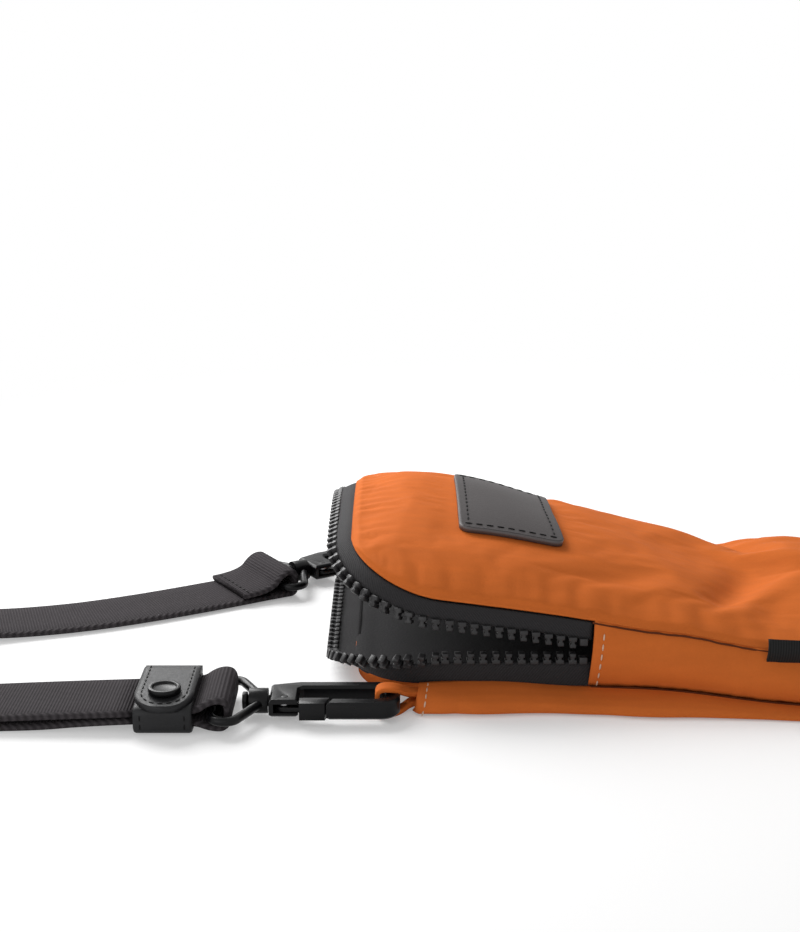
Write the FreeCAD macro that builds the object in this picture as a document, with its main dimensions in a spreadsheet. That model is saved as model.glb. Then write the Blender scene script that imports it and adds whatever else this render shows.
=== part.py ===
import FreeCAD, Part
import Sketcher
import math
import os
from types import SimpleNamespace
from FreeCAD import Placement, Rotation, Vector

# Phone pouch of padded cloth that lies on its back, with its zip open round the mouth, and a webbing
# strap on two swivel hooks. X runs from the mouth to the foot, Y from the near side to the far side, Z up.
# The origin is under the middle of the pouch, on the surface that it lies on. Lengths are in millimetres.

SIZES = {
    # Pouch: plan, cloth layers and the back panel's rim
    "pouch_length": 190,
    "pouch_width": 112,
    "mouth_corner": 26,
    "foot_corner": 24,
    "shell_ply": 1.2,
    "pad_ply": 2,
    "lining_ply": 0.8,
    "ply_gap": 0.1,
    "pad_inset": 8,
    "back_rim": 6.5,
    "mouth_rim": 4,
    "back_round": 4.5,
    # Front wall: distance of each station from the mouth, height at the seam and at the crown
    "lip_depth": 30,
    "zip_leg": 68,
    "waist_place": 110,
    "hump_place": 140,
    "mouth_edge": 34.5,
    "mouth_crown": 44,
    "lip_edge": 31,
    "lip_crown": 43.5,
    "zip_edge": 25.5,
    "zip_crown": 35.5,
    "waist_edge": 17,
    "waist_crown": 23.5,
    "waist_sag": 6,
    "hump_edge": 15,
    "hump_crown": 23.5,
    "hump_sag": 2.5,
    "foot_edge": 13.5,
    "foot_crown": 17.5,
    "lip_gap": 0.3,
    "lip_wedge_angle": 9,
    # Zip: tapes, moulded teeth, end stops, slider and pull
    "tape_show": 4.8,
    "tape_drop": 0.3,
    "tape_ply": 0.9,
    "low_tilt_angle": 86,
    "up_tilt_angle": 66,
    "tooth_pitch": 3.5,
    "tooth_length": 3.4,
    "tooth_base": 2.3,
    "tooth_base_rise": 1.3,
    "tooth_neck": 1,
    "tooth_head": 1.8,
    "tooth_head_rise": 1.1,
    "tooth_thick": 2.6,
    "tooth_seat": 0.25,
    "slider_length": 13,
    "slider_chamfer": 3,
    "slider_plate": 1.4,
    "slider_room": 0.4,
    "slider_park": 1.5,
    "slider_travel": 16,
    "slider_rim": 1.2,
    "slider_rim_length": 4,
    "slider_post": 2.4,
    "slider_post_rise": 1.5,
    "bridge_length": 10,
    "bridge_width": 3.2,
    "bridge_bar": 1.4,
    "bridge_room": 3,
    "pull_length": 26,
    "pull_width": 8,
    "pull_waist": 6.6,
    "pull_plate": 1.6,
    "pull_room": 0.4,
    "pull_hole": 3,
    # Patch and label
    "patch_length": 30,
    "patch_width": 52,
    "patch_ply": 1.6,
    "patch_corner": 3,
    "patch_place": 31.6,
    "label_length": 26,
    "label_reach": 7.5,
    "label_ply": 0.7,
    "label_place": 116,
    "label_rise_angle": 50,
    # Hook: frame, gate, pin, spring, post and ring
    "hook_length": 36,
    "hook_width": 16,
    "hook_thick": 5,
    "hook_arm": 4,
    "nose_bar": 4.5,
    "hook_ease": 0.7,
    "nose_rise": 5.5,
    "nose_round": 2.6,
    "block_length": 8,
    "block_width": 12,
    "gate_joint": 17,
    "gate_slant": 1.2,
    "gate_room": 0.4,
    "pivot_place": 4.2,
    "pivot_drop": 3,
    "hub_diameter": 5.2,
    "hub_ply": 1.4,
    "clevis_slot": 2.6,
    "clevis_end": 1.2,
    "pin_diameter": 2,
    "pin_play": 0.04,
    "spring_diameter": 3.6,
    "spring_rise": 0.8,
    "post_diameter": 3.2,
    "post_length": 6.2,
    "post_head": 5,
    "post_head_rise": 1.4,
    "post_play": 0.05,
    "boss_diameter": 7,
    "boss_length": 5.2,
    "boss_gap": 0.5,
    "ring_wire": 2.6,
    "ring_reach": 15,
    "ring_side": 6,
    "ring_half": 14.4,
    "ring_bend": 3.2,
    # Hooks and tabs on the pouch
    "tab_place": 12,
    "near_tab_out": 9.2,
    "far_tab_out": 9.2,
    "far_yaw_angle": 32,
    "far_hook_shift": 2,
    "hook_height": 4.5,
    "tab_width": 5,
    "tab_ply": 0.9,
    "near_tab_room": 1.2,
    "far_tab_room": 2.4,
    "tab_room_over": 1,
    "tab_neck": 5,
    "tab_bend": 1.6,
    "anchor_length": 22,
    "anchor_straight": 7,
    "anchor_height": 6,
    "anchor_lift": 1,
    "anchor_toe": 0.8,
    # Webbing strap and its keeper
    "web_width": 25,
    "web_ply": 1.8,
    "web_gap": 0.3,
    "loop_front": 10.2,
    "loop_height": 8.6,
    "loop_low": 1.3,
    "loop_bend": 2.6,
    "loop_neck": 4.5,
    "neck_room": 1,
    "keeper_start": 20,
    "keeper_length": 16,
    "leather_ply": 1.8,
    "leather_gap": 0.3,
    "keeper_round": 1.6,
    "flap_gap": 0.2,
    "flap_tip": 5,
    "flap_short": 1.5,
    "snap_diameter": 9,
    "snap_rise": 1.6,
    "snap_rim": 1.2,
    "snap_dish": 0.7,
    "snap_place": 7,
    "stud_diameter": 4,
    "stud_room": 0.4,
    "stud_rise": 1.3,
    "tail_length": 48,
    "tail_drop": 2,
    "near_flat": 56,
    "run_drop": 2.2,
    "fold_length": 19,
    "far_flat": 90,
    "far_bend": 350,
    "twist_length": 50,
    # Roll of the put-away strap, standing on edge
    "edge_lift": 1,
    "roll_core": 18,
    "roll_pitch": 9.5,
    "near_half_turns": 4,
    "far_half_turns": 3,
    "far_leave_angle": 40,
    "far_back_bend": 40,
    "tie_width": 9,
    "tie_ply": 0.6,
    "tie_gap": 0.2,
    "tie_inner": 16,
    # Cuts run this far past what they cut
    "overrun": 4,
}

# Places as shares of the sizes that they follow
STATION_STEPS = 6
ARCH_POWER = 2.5
ARCH_SHARES = (-1, -0.85, -0.55, 0, 0.55, 0.85, 1)
TWIST_STEPS = 6

doc = FreeCAD.newDocument("PhonePouch")
sheet = doc.addObject("Spreadsheet::Sheet", "Sizes")
for row, (alias, value) in enumerate(SIZES.items(), start=1):
    sheet.set(f"A{row}", alias)
    sheet.set(f"B{row}", str(value))
    sheet.setAlias(f"B{row}", alias)
doc.recompute()
v = SimpleNamespace(**{alias: float(sheet.get(alias)) for alias in SIZES})

# Places that follow from the driving dimensions
half = v.pouch_width / 2
zip_inset = v.shell_ply / 2
mouth_reach = v.tape_show + v.tooth_length - zip_inset
x_mouth = -(v.pouch_length - mouth_reach) / 2
x_foot = x_mouth + v.pouch_length
x_lip = x_mouth + v.lip_depth
x_zip = x_mouth + v.zip_leg
x_corner = x_mouth + v.mouth_corner
x_tab = x_mouth + v.tab_place
near_tab_reach = half + v.near_tab_out
far_tab_reach = half + v.far_tab_out
nose_place = v.hook_length - v.nose_bar / 2
near_hook_at = Vector(x_tab - nose_place, -near_tab_reach, v.hook_height)
far_turn = Rotation(Vector(0, 0, 1), v.far_yaw_angle)
far_hook_at = Vector(x_tab, far_tab_reach, v.hook_height) + far_turn.multVec(Vector(-nose_place, v.far_hook_shift, 0))
near_hook_place = Placement(near_hook_at, Rotation())
far_hook_place = Placement(far_hook_at, far_turn)

parts = {}


def keep(obj, label):
    """Give a finished sub-part the name of its file."""
    obj.Label = label
    parts[label] = obj
    return obj


def one_solid(shape):
    """The single solid that a boolean left."""
    solids = shape.Solids
    if len(solids) != 1:
        raise ValueError(f"expected one solid, got {len(solids)}")
    return solids[0]


def feature(label, shape, placement=None):
    """A sub-part whose shape comes straight from Part's functions."""
    obj = doc.addObject("Part::Feature", label)
    obj.Shape = shape
    if placement is not None:
        obj.Placement = placement
    return keep(obj, label)


def bind(obj, **expressions):
    """Tie an object's properties to cells of the sheet."""
    for name, expression in expressions.items():
        obj.setExpression(name, expression)
    return obj


# Sketches: every corner is placed from the sheet, and a round side has its radius there too
def new_body(label, placement=None):
    body = doc.addObject("PartDesign::Body", label)
    if placement is not None:
        body.Placement = placement
    return keep(body, label)


def new_sketch(body, name, role, lift=None):
    """A sketch on one of the body's own planes, raised from it by the expression lift."""
    plane = next(item for item in body.Origin.OriginFeatures if item.Role == role)
    sketch = body.newObject("Sketcher::SketchObject", f"{body.Name}_{name}")
    sketch.AttachmentSupport = [(plane, "")]
    sketch.MapMode = "FlatFace"
    if lift is not None:
        sketch.setExpression("AttachmentOffset.Base.z", lift)
    return sketch


def arc_between(start, end, radius, turn):
    """The short arc from start to end; turn is 1 to the left and -1 to the right."""
    chord = end - start
    rise = math.sqrt(max(radius ** 2 - (chord.Length / 2) ** 2, 0))
    normal = Vector(-chord.y, chord.x, 0).normalize()
    centre = (start + end) / 2 + normal * (rise * turn)
    first, last = (start, end) if turn > 0 else (end, start)
    angles = [math.atan2(p.y - centre.y, p.x - centre.x) for p in (first, last)]
    return Part.ArcOfCircle(Part.Circle(centre, Vector(0, 0, 1), radius), *angles)


def outline(sketch, corners):
    """A closed outline of (x, y) or (x, y, radius, turn) expressions; a radius rounds the side that follows."""
    number = lambda text: float(sketch.evalExpression(text))
    points = [Vector(number(c[0]), number(c[1]), 0) for c in corners]
    ids = []
    for index, corner in enumerate(corners):
        start, end = points[index], points[(index + 1) % len(points)]
        if len(corner) == 2:
            ids.append((sketch.addGeometry(Part.LineSegment(start, end)), 1, 2))
        else:
            arc = arc_between(start, end, number(corner[2]), corner[3])
            ends = (1, 2) if corner[3] > 0 else (2, 1)
            ids.append((sketch.addGeometry(arc), *ends))
    for index, corner in enumerate(corners):
        geo, first, last = ids[index]
        following = ids[(index + 1) % len(ids)]
        sketch.addConstraint(Sketcher.Constraint("Coincident", geo, last, following[0], following[1]))
        for kind, value, text in zip(("DistanceX", "DistanceY"), points[index], corner):
            mark = sketch.addConstraint(Sketcher.Constraint(kind, -1, 1, geo, first, value))
            sketch.setExpression(f"Constraints[{mark}]", text)
        if len(corner) > 2:
            mark = sketch.addConstraint(Sketcher.Constraint("Radius", geo, number(corner[2])))
            sketch.setExpression(f"Constraints[{mark}]", corner[2])


def circle(sketch, x, y, diameter):
    """A full circle at the expressions x, y."""
    number = lambda text: float(sketch.evalExpression(text))
    centre = Vector(number(x), number(y), 0)
    geo = sketch.addGeometry(Part.Circle(centre, Vector(0, 0, 1), number(diameter) / 2))
    for kind, value, text in (("DistanceX", centre.x, x), ("DistanceY", centre.y, y)):
        mark = sketch.addConstraint(Sketcher.Constraint(kind, -1, 1, geo, 3, value))
        sketch.setExpression(f"Constraints[{mark}]", text)
    mark = sketch.addConstraint(Sketcher.Constraint("Diameter", geo, number(diameter)))
    sketch.setExpression(f"Constraints[{mark}]", diameter)


def rounded_box(x0, x1, y0, y1, radius):
    """Corners of an upright rectangle with four equal round corners."""
    return [
        (f"{x0} + {radius}", y0),
        (f"{x1} - {radius}", y0, radius, 1),
        (x1, f"{y0} + {radius}"),
        (x1, f"{y1} - {radius}", radius, 1),
        (f"{x1} - {radius}", y1),
        (f"{x0} + {radius}", y1, radius, 1),
        (x0, f"{y1} - {radius}"),
        (x0, f"{y0} + {radius}", radius, 1),
    ]


def pad(body, sketch, length, midplane=False, reverse=False):
    grown = body.newObject("PartDesign::Pad", f"{sketch.Name}_pad")
    grown.Profile = sketch
    grown.setExpression("Length", length)
    grown.Midplane = midplane
    grown.Reversed = reverse
    doc.recompute()
    return grown


def pocket(body, sketch, midplane=True, reverse=False):
    """A cut right through; it has to take something away."""
    before = body.Tip.Shape.Volume
    cut = body.newObject("PartDesign::Pocket", f"{sketch.Name}_cut")
    cut.Profile = sketch
    cut.Type = 1
    cut.Midplane = midplane
    cut.Reversed = reverse
    doc.recompute()
    if not body.Tip.Shape.Volume < before:
        raise ValueError(f"{sketch.Name} cuts nothing")
    return cut


def soften(body, kind, value, chosen):
    """Fillet or chamfer the edges of the body's last shape that chosen picks."""
    base = body.Tip
    names = [f"Edge{i}" for i, edge in enumerate(base.Shape.Edges, start=1) if chosen(edge)]
    dressed = body.newObject(f"PartDesign::{kind}", f"{body.Name}_{kind}")
    dressed.Base = (base, names)
    dressed.setExpression("Radius" if kind == "Fillet" else "Size", value)
    doc.recompute()
    return dressed


# Pouch plan and front wall
X_MOUTH = "(-(Sizes.pouch_length - Sizes.tape_show - Sizes.tooth_length + Sizes.shell_ply / 2) / 2)"
X_FOOT = f"({X_MOUTH} + Sizes.pouch_length)"
HALF = "(Sizes.pouch_width / 2)"


def plan_corners(inset):
    """The pouch's plan, drawn in all round by the expression inset."""
    mouth, foot = f"({X_MOUTH} + {inset})", f"({X_FOOT} - {inset})"
    side = f"({HALF} - {inset})"
    r_mouth, r_foot = f"(Sizes.mouth_corner - {inset})", f"(Sizes.foot_corner - {inset})"
    return [
        (f"{mouth} + {r_mouth}", f"-{side}"),
        (f"{foot} - {r_foot}", f"-{side}", r_foot, 1),
        (foot, f"-{side} + {r_foot}"),
        (foot, f"{side} - {r_foot}", r_foot, 1),
        (f"{foot} - {r_foot}", side),
        (f"{mouth} + {r_mouth}", side, r_mouth, 1),
        (mouth, f"{side} - {r_mouth}"),
        (mouth, f"-{side} + {r_mouth}", r_mouth, 1),
    ]


def plan_prism(inset, low, high):
    """A column of the pouch's plan between two heights, to trim cloth layers with."""
    mouth, foot, side = x_mouth + inset, x_foot - inset, half - inset
    r_mouth, r_foot = v.mouth_corner - inset, v.foot_corner - inset
    slant = math.sqrt(2) / 2
    edges = []
    rounds = [(foot, -1, 1, r_foot), (foot, 1, 1, r_foot), (mouth, 1, -1, r_mouth), (mouth, -1, -1, r_mouth)]
    arcs = []
    for x, sy, sx, r in rounds:
        centre = Vector(x - sx * r, sy * (side - r), low)
        across, along = Vector(0, sy * r, 0), Vector(sx * r, 0, 0)
        ends = (across, along) if sy * sx < 0 else (along, across)
        middle = (across + along) * slant
        arcs.append([centre + ends[0], centre + middle, centre + ends[1]])
    for index, points in enumerate(arcs):
        edges.append(Part.Arc(*points).toShape())
        edges.append(Part.LineSegment(points[2], arcs[(index + 1) % len(arcs)][0]).toShape())
    return Part.Face(Part.Wire(edges)).extrude(Vector(0, 0, high - low))


stations = [
    (x_mouth, v.mouth_edge, v.mouth_crown),
    (x_lip, v.lip_edge, v.lip_crown),
    (x_zip, v.zip_edge, v.zip_crown),
    (x_mouth + v.waist_place, v.waist_edge, v.waist_crown),
    (x_mouth + v.hump_place, v.hump_edge, v.hump_crown),
    (x_foot, v.foot_edge, v.foot_crown),
]
sky = 2 * max(crown for _, _, crown in stations)


def front_heights(x):
    """Height of the front wall at its seam and at its crown, straight between the stations."""
    x = min(max(x, x_mouth), x_foot)
    for (x0, edge0, crown0), (x1, edge1, crown1) in zip(stations, stations[1:]):
        if x <= x1:
            share = (x - x0) / (x1 - x0)
            return edge0 + (edge1 - edge0) * share, crown0 + (crown1 - crown0) * share
    return stations[-1][1:]


def far_sag(x):
    """How far the far seam has sunk below the near one; only between the zip's end and the foot."""
    sags = [(x_zip, 0), (x_mouth + v.waist_place, v.waist_sag), (x_mouth + v.hump_place, v.hump_sag), (x_foot, 0)]
    for (x0, sag0), (x1, sag1) in zip(sags, sags[1:]):
        if x0 <= x <= x1:
            return sag0 + (sag1 - sag0) * (x - x0) / (x1 - x0)
    return 0


def arch_height(x, y):
    """Height of the front wall's outer face: fuller than an arc, and sunk towards the far seam."""
    edge, crown = front_heights(x)
    share = abs(y) / half
    return edge + (crown - edge) * (1 - share ** ARCH_POWER) - far_sag(x) * max(y / half, 0) ** 2


def arch_edge(x, lift):
    side = half + v.overrun
    points = [Vector(x, side * share, arch_height(x, side * share) + lift) for share in ARCH_SHARES]
    curve = Part.BSplineCurve()
    curve.interpolate(points)
    return curve.toShape()


def arch_ring(x, lift_top, lift_bottom):
    """Cross section of a cloth layer of the front wall."""
    top, bottom = arch_edge(x, lift_top), arch_edge(x, lift_bottom)
    ends = [(top.Vertexes[i].Point, bottom.Vertexes[i].Point) for i in (0, 1)]
    sides = [Part.LineSegment(*pair).toShape() for pair in ends]
    return Part.Wire(Part.__sortEdges__([top, sides[1], bottom, sides[0]]))


def arch_layer(places, lift_top, ply):
    rings = [arch_ring(x, lift_top, lift_top - ply) for x in places]
    return Part.makeLoft(rings, True, True)


fixed_places = [x_lip + v.lip_gap] + [x for x, _, _ in stations[2:-1]] + [x_foot + v.overrun]
lip_places = [x_mouth - v.overrun, x_lip]
lip_slope = math.tan(math.radians(v.lip_wedge_angle))
lip_top = v.lip_crown + v.lip_gap
lip_block = Part.Face(
    Part.makePolygon(
        [
            Vector(x_mouth - 2 * v.overrun, -v.pouch_width, 0),
            Vector(x_lip - lip_top * lip_slope, -v.pouch_width, 0),
            Vector(x_lip, -v.pouch_width, lip_top),
            Vector(x_lip, -v.pouch_width, sky),
            Vector(x_mouth - 2 * v.overrun, -v.pouch_width, sky),
            Vector(x_mouth - 2 * v.overrun, -v.pouch_width, 0),
        ]
    )
).extrude(Vector(0, 2 * v.pouch_width, 0))

# Front wall and lip: cloth, padding and lining, each trimmed to the pouch's plan
depth = 0
for name, ply, inset in (
    ("panel", v.shell_ply, 0),
    ("padding", v.pad_ply, v.pad_inset),
    ("lining", v.lining_ply, v.pad_inset),
):
    column = plan_prism(inset, 0, sky)
    fixed = arch_layer(fixed_places, -depth, ply).common(column)
    feature(f"front_{name}", one_solid(fixed))
    lip = arch_layer(lip_places, -depth, ply).common(column).common(lip_block)
    feature(f"lip_{name}", one_solid(lip))
    depth += ply + v.ply_gap

# Back panel: a tray with a rounded foot, whose rim is cut down towards the mouth
back = new_body("back_panel")
plan = new_sketch(back, "plan", "XY_Plane")
outline(plan, plan_corners("0"))
pad(back, plan, "Sizes.back_rim")
soften(back, "Fillet", "Sizes.back_round", lambda edge: edge.BoundBox.ZMax < v.back_round / 2)
tray = back.Tip
heights = [face.CenterOfMass.z for face in tray.Shape.Faces]
hollow = back.newObject("PartDesign::Thickness", "back_panel_wall")
hollow.Base = (tray, [f"Face{heights.index(max(heights)) + 1}"])
hollow.setExpression("Value", "Sizes.shell_ply")
hollow.Reversed = True
doc.recompute()
slope = new_sketch(back, "mouth_slope", "XZ_Plane")
outline(
    slope,
    [
        (f"{X_MOUTH} - Sizes.overrun", "Sizes.mouth_rim"),
        (X_MOUTH, "Sizes.mouth_rim"),
        (f"{X_MOUTH} + Sizes.mouth_corner", "Sizes.back_rim"),
        (f"{X_MOUTH} + Sizes.mouth_corner", "Sizes.back_rim + Sizes.overrun"),
        (f"{X_MOUTH} - Sizes.overrun", "Sizes.back_rim + Sizes.overrun"),
    ],
)
pocket(back, slope)

low = "Sizes.shell_ply + Sizes.ply_gap"
for name, ply in (("padding", "Sizes.pad_ply"), ("lining", "Sizes.lining_ply")):
    body = new_body(f"back_{name}")
    plan = new_sketch(body, "plan", "XY_Plane", low)
    outline(plan, plan_corners("Sizes.pad_inset"))
    pad(body, plan, ply)
    low = f"{low} + {ply} + Sizes.ply_gap"

# Gusset: the band between the seams, from one zip end round the foot to the other
band_low = v.back_rim + v.ply_gap
under = []
for x in [x_zip] + [x for x, _, _ in stations[3:-1]] + [x_foot + v.overrun]:
    top = arch_edge(x, -v.shell_ply - v.ply_gap)
    feet = [Vector(x, p.Point.y, band_low) for p in top.Vertexes]
    sides = [Part.LineSegment(p.Point, foot).toShape() for p, foot in zip(top.Vertexes, feet)]
    base = Part.LineSegment(*feet).toShape()
    under.append(Part.Wire(Part.__sortEdges__([top, sides[1], base, sides[0]])))
wall = plan_prism(0, band_low, sky).cut(plan_prism(v.shell_ply, band_low, sky))
feature("gusset_strip", one_solid(Part.makeLoft(under, True, True).common(wall)))

# Zip: the seam's path in plan, and the two rows of tape and teeth that stand on it
leg = x_zip - x_corner
bend = v.mouth_corner - zip_inset
quarter = bend * math.pi / 2
mouth_side = half - v.mouth_corner
zip_length = 2 * (leg + quarter + mouth_side)


def seam_point(along):
    """Point, outward direction and share of the corner's turn, at a length along from the near zip end."""
    far = along > zip_length / 2
    along = min(along, zip_length - along)
    if along < leg:
        point, out, turn = (x_zip - along, zip_inset - half), (0, -1), 0
    elif along < leg + quarter:
        angle = (along - leg) / bend
        out = (-math.sin(angle), -math.cos(angle))
        point = (x_corner + bend * out[0], -mouth_side + bend * out[1])
        turn = angle / (math.pi / 2)
    else:
        point, out, turn = (x_mouth + zip_inset, along - leg - quarter - mouth_side), (-1, 0), 1
    flip = -1 if far else 1
    return Vector(point[0], flip * point[1], 0), Vector(out[0], flip * out[1], 0), turn


def zip_frame(upper, along):
    """Root of the tape, and its directions along the seam, across the tape and through it."""
    point, out, turn = seam_point(along)
    tangent = Vector(out.y, -out.x, 0)
    if upper:
        tilt, rise = math.radians(v.up_tilt_angle) * turn, -1
        outer = point + out * (v.tape_ply / 2)
        point.z = arch_height(outer.x, outer.y) - v.shell_ply - v.tape_drop
    else:
        tilt, rise = math.radians(v.low_tilt_angle) * turn, 1
        point.z = v.back_rim + (v.mouth_rim - v.back_rim) * turn
    point.z += rise * (v.ply_gap + math.sin(tilt) * v.tape_ply / 2)
    across = out * math.sin(tilt) + Vector(0, 0, rise * math.cos(tilt))
    return point, tangent, across, tangent.cross(across)


def tape(upper, places):
    rings = []
    for along in places:
        root, _, across, through = zip_frame(upper, along)
        face, back_face = through * (v.tape_ply / 2), through * (-v.tape_ply / 2)
        edge = root + across * v.tape_show
        rings.append(Part.makePolygon([root + back_face, root + face, edge + face, edge + back_face, root + back_face]))
    return Part.makeLoft(rings, True, True)


corner_steps = [leg + quarter * i / STATION_STEPS for i in range(STATION_STEPS + 1)]
mouth_steps = [leg + quarter + 2 * mouth_side * i / STATION_STEPS for i in range(1, STATION_STEPS)]
round_steps = corner_steps + mouth_steps + [zip_length - along for along in reversed(corner_steps)]
side_end = x_zip - x_lip - v.lip_gap
feature("lower_zip_tape", tape(False, [0] + round_steps + [zip_length]))
feature("near_upper_tape", tape(True, [0, side_end]))
feature("far_upper_tape", tape(True, [zip_length - side_end, zip_length]))
feature("lip_zip_tape", tape(True, round_steps))

# One moulded tooth, drawn along the seam (x) and across the tape (y)
tooth = doc.addObject("PartDesign::Body", "tooth_form")
profile = new_sketch(tooth, "profile", "XY_Plane")
foot = "Sizes.tape_show + Sizes.tooth_seat"
shoulder = f"{foot} + Sizes.tooth_base_rise"
tip = "Sizes.tape_show + Sizes.tooth_length"
brow = f"{tip} - Sizes.tooth_head_rise"
outline(
    profile,
    [
        ("-Sizes.tooth_base / 2", foot),
        ("Sizes.tooth_base / 2", foot),
        ("Sizes.tooth_base / 2", shoulder),
        ("Sizes.tooth_neck / 2", shoulder),
        ("Sizes.tooth_neck / 2", brow),
        ("Sizes.tooth_head / 2", brow),
        ("Sizes.tooth_head / 2", tip),
        ("-Sizes.tooth_head / 2", tip),
        ("-Sizes.tooth_head / 2", brow),
        ("-Sizes.tooth_neck / 2", brow),
        ("-Sizes.tooth_neck / 2", shoulder),
        ("-Sizes.tooth_base / 2", shoulder),
    ],
)
pad(tooth, profile, "Sizes.tooth_thick", midplane=True)
stop = doc.addObject("PartDesign::Body", "stop_form")
profile = new_sketch(stop, "profile", "XY_Plane")
outline(
    profile,
    [
        ("-Sizes.tooth_base / 2", foot),
        ("Sizes.tooth_base / 2", foot),
        ("Sizes.tooth_base / 2", brow),
        ("-Sizes.tooth_base / 2", brow),
    ],
)
pad(stop, profile, "Sizes.tooth_thick", midplane=True)


def on_tape(form, upper, along):
    """A copy of a form, seated on the edge of a tape."""
    root, tangent, across, through = zip_frame(upper, along)
    matrix = FreeCAD.Matrix(
        tangent.x, across.x, through.x, root.x,
        tangent.y, across.y, through.y, root.y,
        tangent.z, across.z, through.z, root.z,
    )
    copy = form.Shape.copy()
    copy.Placement = Placement(matrix)
    return copy.Solids[0]


def tooth_places(upper, start, end):
    """Places a tooth's pitch apart, measured where the teeth sit."""
    samples = 40 * STATION_STEPS
    places, gone, last = [], v.tooth_pitch / 2, None
    for i in range(samples + 1):
        along = start + (end - start) * i / samples
        root, _, across, _ = zip_frame(upper, along)
        seat = root + across * v.tape_show
        gone += (seat - last).Length if last else 0
        last = seat
        if gone >= v.tooth_pitch:
            places.append(along)
            gone -= v.tooth_pitch
    return places


def teeth(label, upper, spans):
    solids = [on_tape(tooth, upper, along) for span in spans for along in tooth_places(upper, *span)]
    print(label, len(solids), "teeth")
    feature(label, Part.makeCompound(solids))


first_tooth, last_tooth = v.tooth_pitch, zip_length - 1.5 * v.tooth_pitch
teeth("lower_zip_teeth", False, [(first_tooth, last_tooth)])
teeth("side_upper_teeth", True, [(first_tooth, side_end), (zip_length - side_end, last_tooth)])
teeth("lip_zip_teeth", True, [(leg, zip_length - leg)])
stop_at = v.tooth_base
stops = [on_tape(stop, upper, along) for upper in (False, True) for along in (stop_at, zip_length - stop_at)]
feature("zip_stops", Part.makeCompound(stops))

# Slider on the far leg: two plates round the rows, joined by a post at the front, with a bridge for the pull
TOOTH_FOOT = "(Sizes.back_rim + Sizes.ply_gap + Sizes.tape_show)"
RIM_LOW = f"({TOOTH_FOOT} - Sizes.slider_room)"
SLIDER_LOW = f"({RIM_LOW} - Sizes.slider_rim)"
ZIP_SLOPE = "((Sizes.lip_edge - Sizes.zip_edge) / (Sizes.zip_leg - Sizes.lip_depth))"
UPPER_FOOT = "(Sizes.zip_edge - Sizes.shell_ply - Sizes.ply_gap - Sizes.tape_show)"
RIM_HIGH = f"({UPPER_FOOT} + {ZIP_SLOPE} * (Sizes.slider_park + Sizes.slider_travel + Sizes.slider_rim_length) + Sizes.slider_room)"
SLIDER_HIGH = f"({RIM_HIGH} + Sizes.slider_rim)"
CHANNEL = "(Sizes.tooth_thick / 2 + Sizes.slider_room)"
OUTSIDE = f"({CHANNEL} + Sizes.slider_plate)"
SLOT = "(Sizes.tape_ply / 2 + Sizes.slider_room)"
REACH = "(Sizes.slider_length / 2)"
ROW_GAP = f"({TOOTH_FOOT} + Sizes.tooth_length)"
x_slider = x_zip - v.slider_park - v.slider_length / 2
y_zip = half - zip_inset
slider = new_body("zip_slider", Placement(Vector(x_slider, y_zip, 0), Rotation()))
shield = new_sketch(slider, "shield", "XZ_Plane")
outline(
    shield,
    [
        (f"-{REACH} + Sizes.slider_chamfer / 2", SLIDER_LOW),
        (f"{REACH} - Sizes.slider_chamfer", SLIDER_LOW),
        (REACH, f"{SLIDER_LOW} + Sizes.slider_chamfer"),
        (REACH, f"{SLIDER_HIGH} - Sizes.slider_chamfer"),
        (f"{REACH} - Sizes.slider_chamfer", SLIDER_HIGH),
        (f"-{REACH} + Sizes.slider_chamfer / 2", SLIDER_HIGH),
        (f"-{REACH}", f"{SLIDER_HIGH} - Sizes.slider_chamfer / 2"),
        (f"-{REACH}", f"{SLIDER_LOW} + Sizes.slider_chamfer / 2"),
    ],
)
pad(slider, shield, f"2 * {OUTSIDE}", midplane=True)
channel = new_sketch(slider, "channel", "YZ_Plane")
outline(
    channel,
    [
        (f"-{SLOT}", f"{SLIDER_LOW} - Sizes.overrun"),
        (SLOT, f"{SLIDER_LOW} - Sizes.overrun"),
        (SLOT, RIM_LOW),
        (CHANNEL, RIM_LOW),
        (CHANNEL, RIM_HIGH),
        (SLOT, RIM_HIGH),
        (SLOT, f"{SLIDER_HIGH} + Sizes.overrun"),
        (f"-{SLOT}", f"{SLIDER_HIGH} + Sizes.overrun"),
        (f"-{SLOT}", RIM_HIGH),
        (f"-{CHANNEL}", RIM_HIGH),
        (f"-{CHANNEL}", RIM_LOW),
        (f"-{SLOT}", RIM_LOW),
    ],
)
post = new_sketch(slider, "post", "XZ_Plane")
bridge = new_sketch(slider, "bridge", "XY_Plane", f"({SLIDER_LOW} + {SLIDER_HIGH}) / 2")
pocket(slider, channel)
mouth = new_sketch(slider, "mouth", "XZ_Plane")
outline(
    mouth,
    [
        (f"-{REACH} - Sizes.overrun", f"{RIM_HIGH} - Sizes.slider_room"),
        (f"{REACH} - Sizes.slider_rim_length", f"{RIM_HIGH} - Sizes.slider_room"),
        (f"{REACH} - Sizes.slider_rim_length", f"{SLIDER_HIGH} + Sizes.overrun"),
        (f"-{REACH} - Sizes.overrun", f"{SLIDER_HIGH} + Sizes.overrun"),
    ],
)
opened = pocket(slider, mouth)
opened.Type = 0
opened.setExpression("Length", f"2 * {CHANNEL}")
doc.recompute()
outline(
    post,
    [
        (f"-{REACH}", f"{ROW_GAP} + Sizes.slider_room"),
        (f"-{REACH} + Sizes.slider_post", f"{ROW_GAP} + Sizes.slider_room"),
        (f"-{REACH} + Sizes.slider_post", f"{ROW_GAP} + Sizes.slider_room + Sizes.slider_post_rise"),
        (f"-{REACH}", f"{ROW_GAP} + Sizes.slider_room + Sizes.slider_post_rise"),
    ],
)
pad(slider, post, f"2 * {OUTSIDE}", midplane=True)
ARCH = "(Sizes.bridge_length / 2)"
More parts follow.
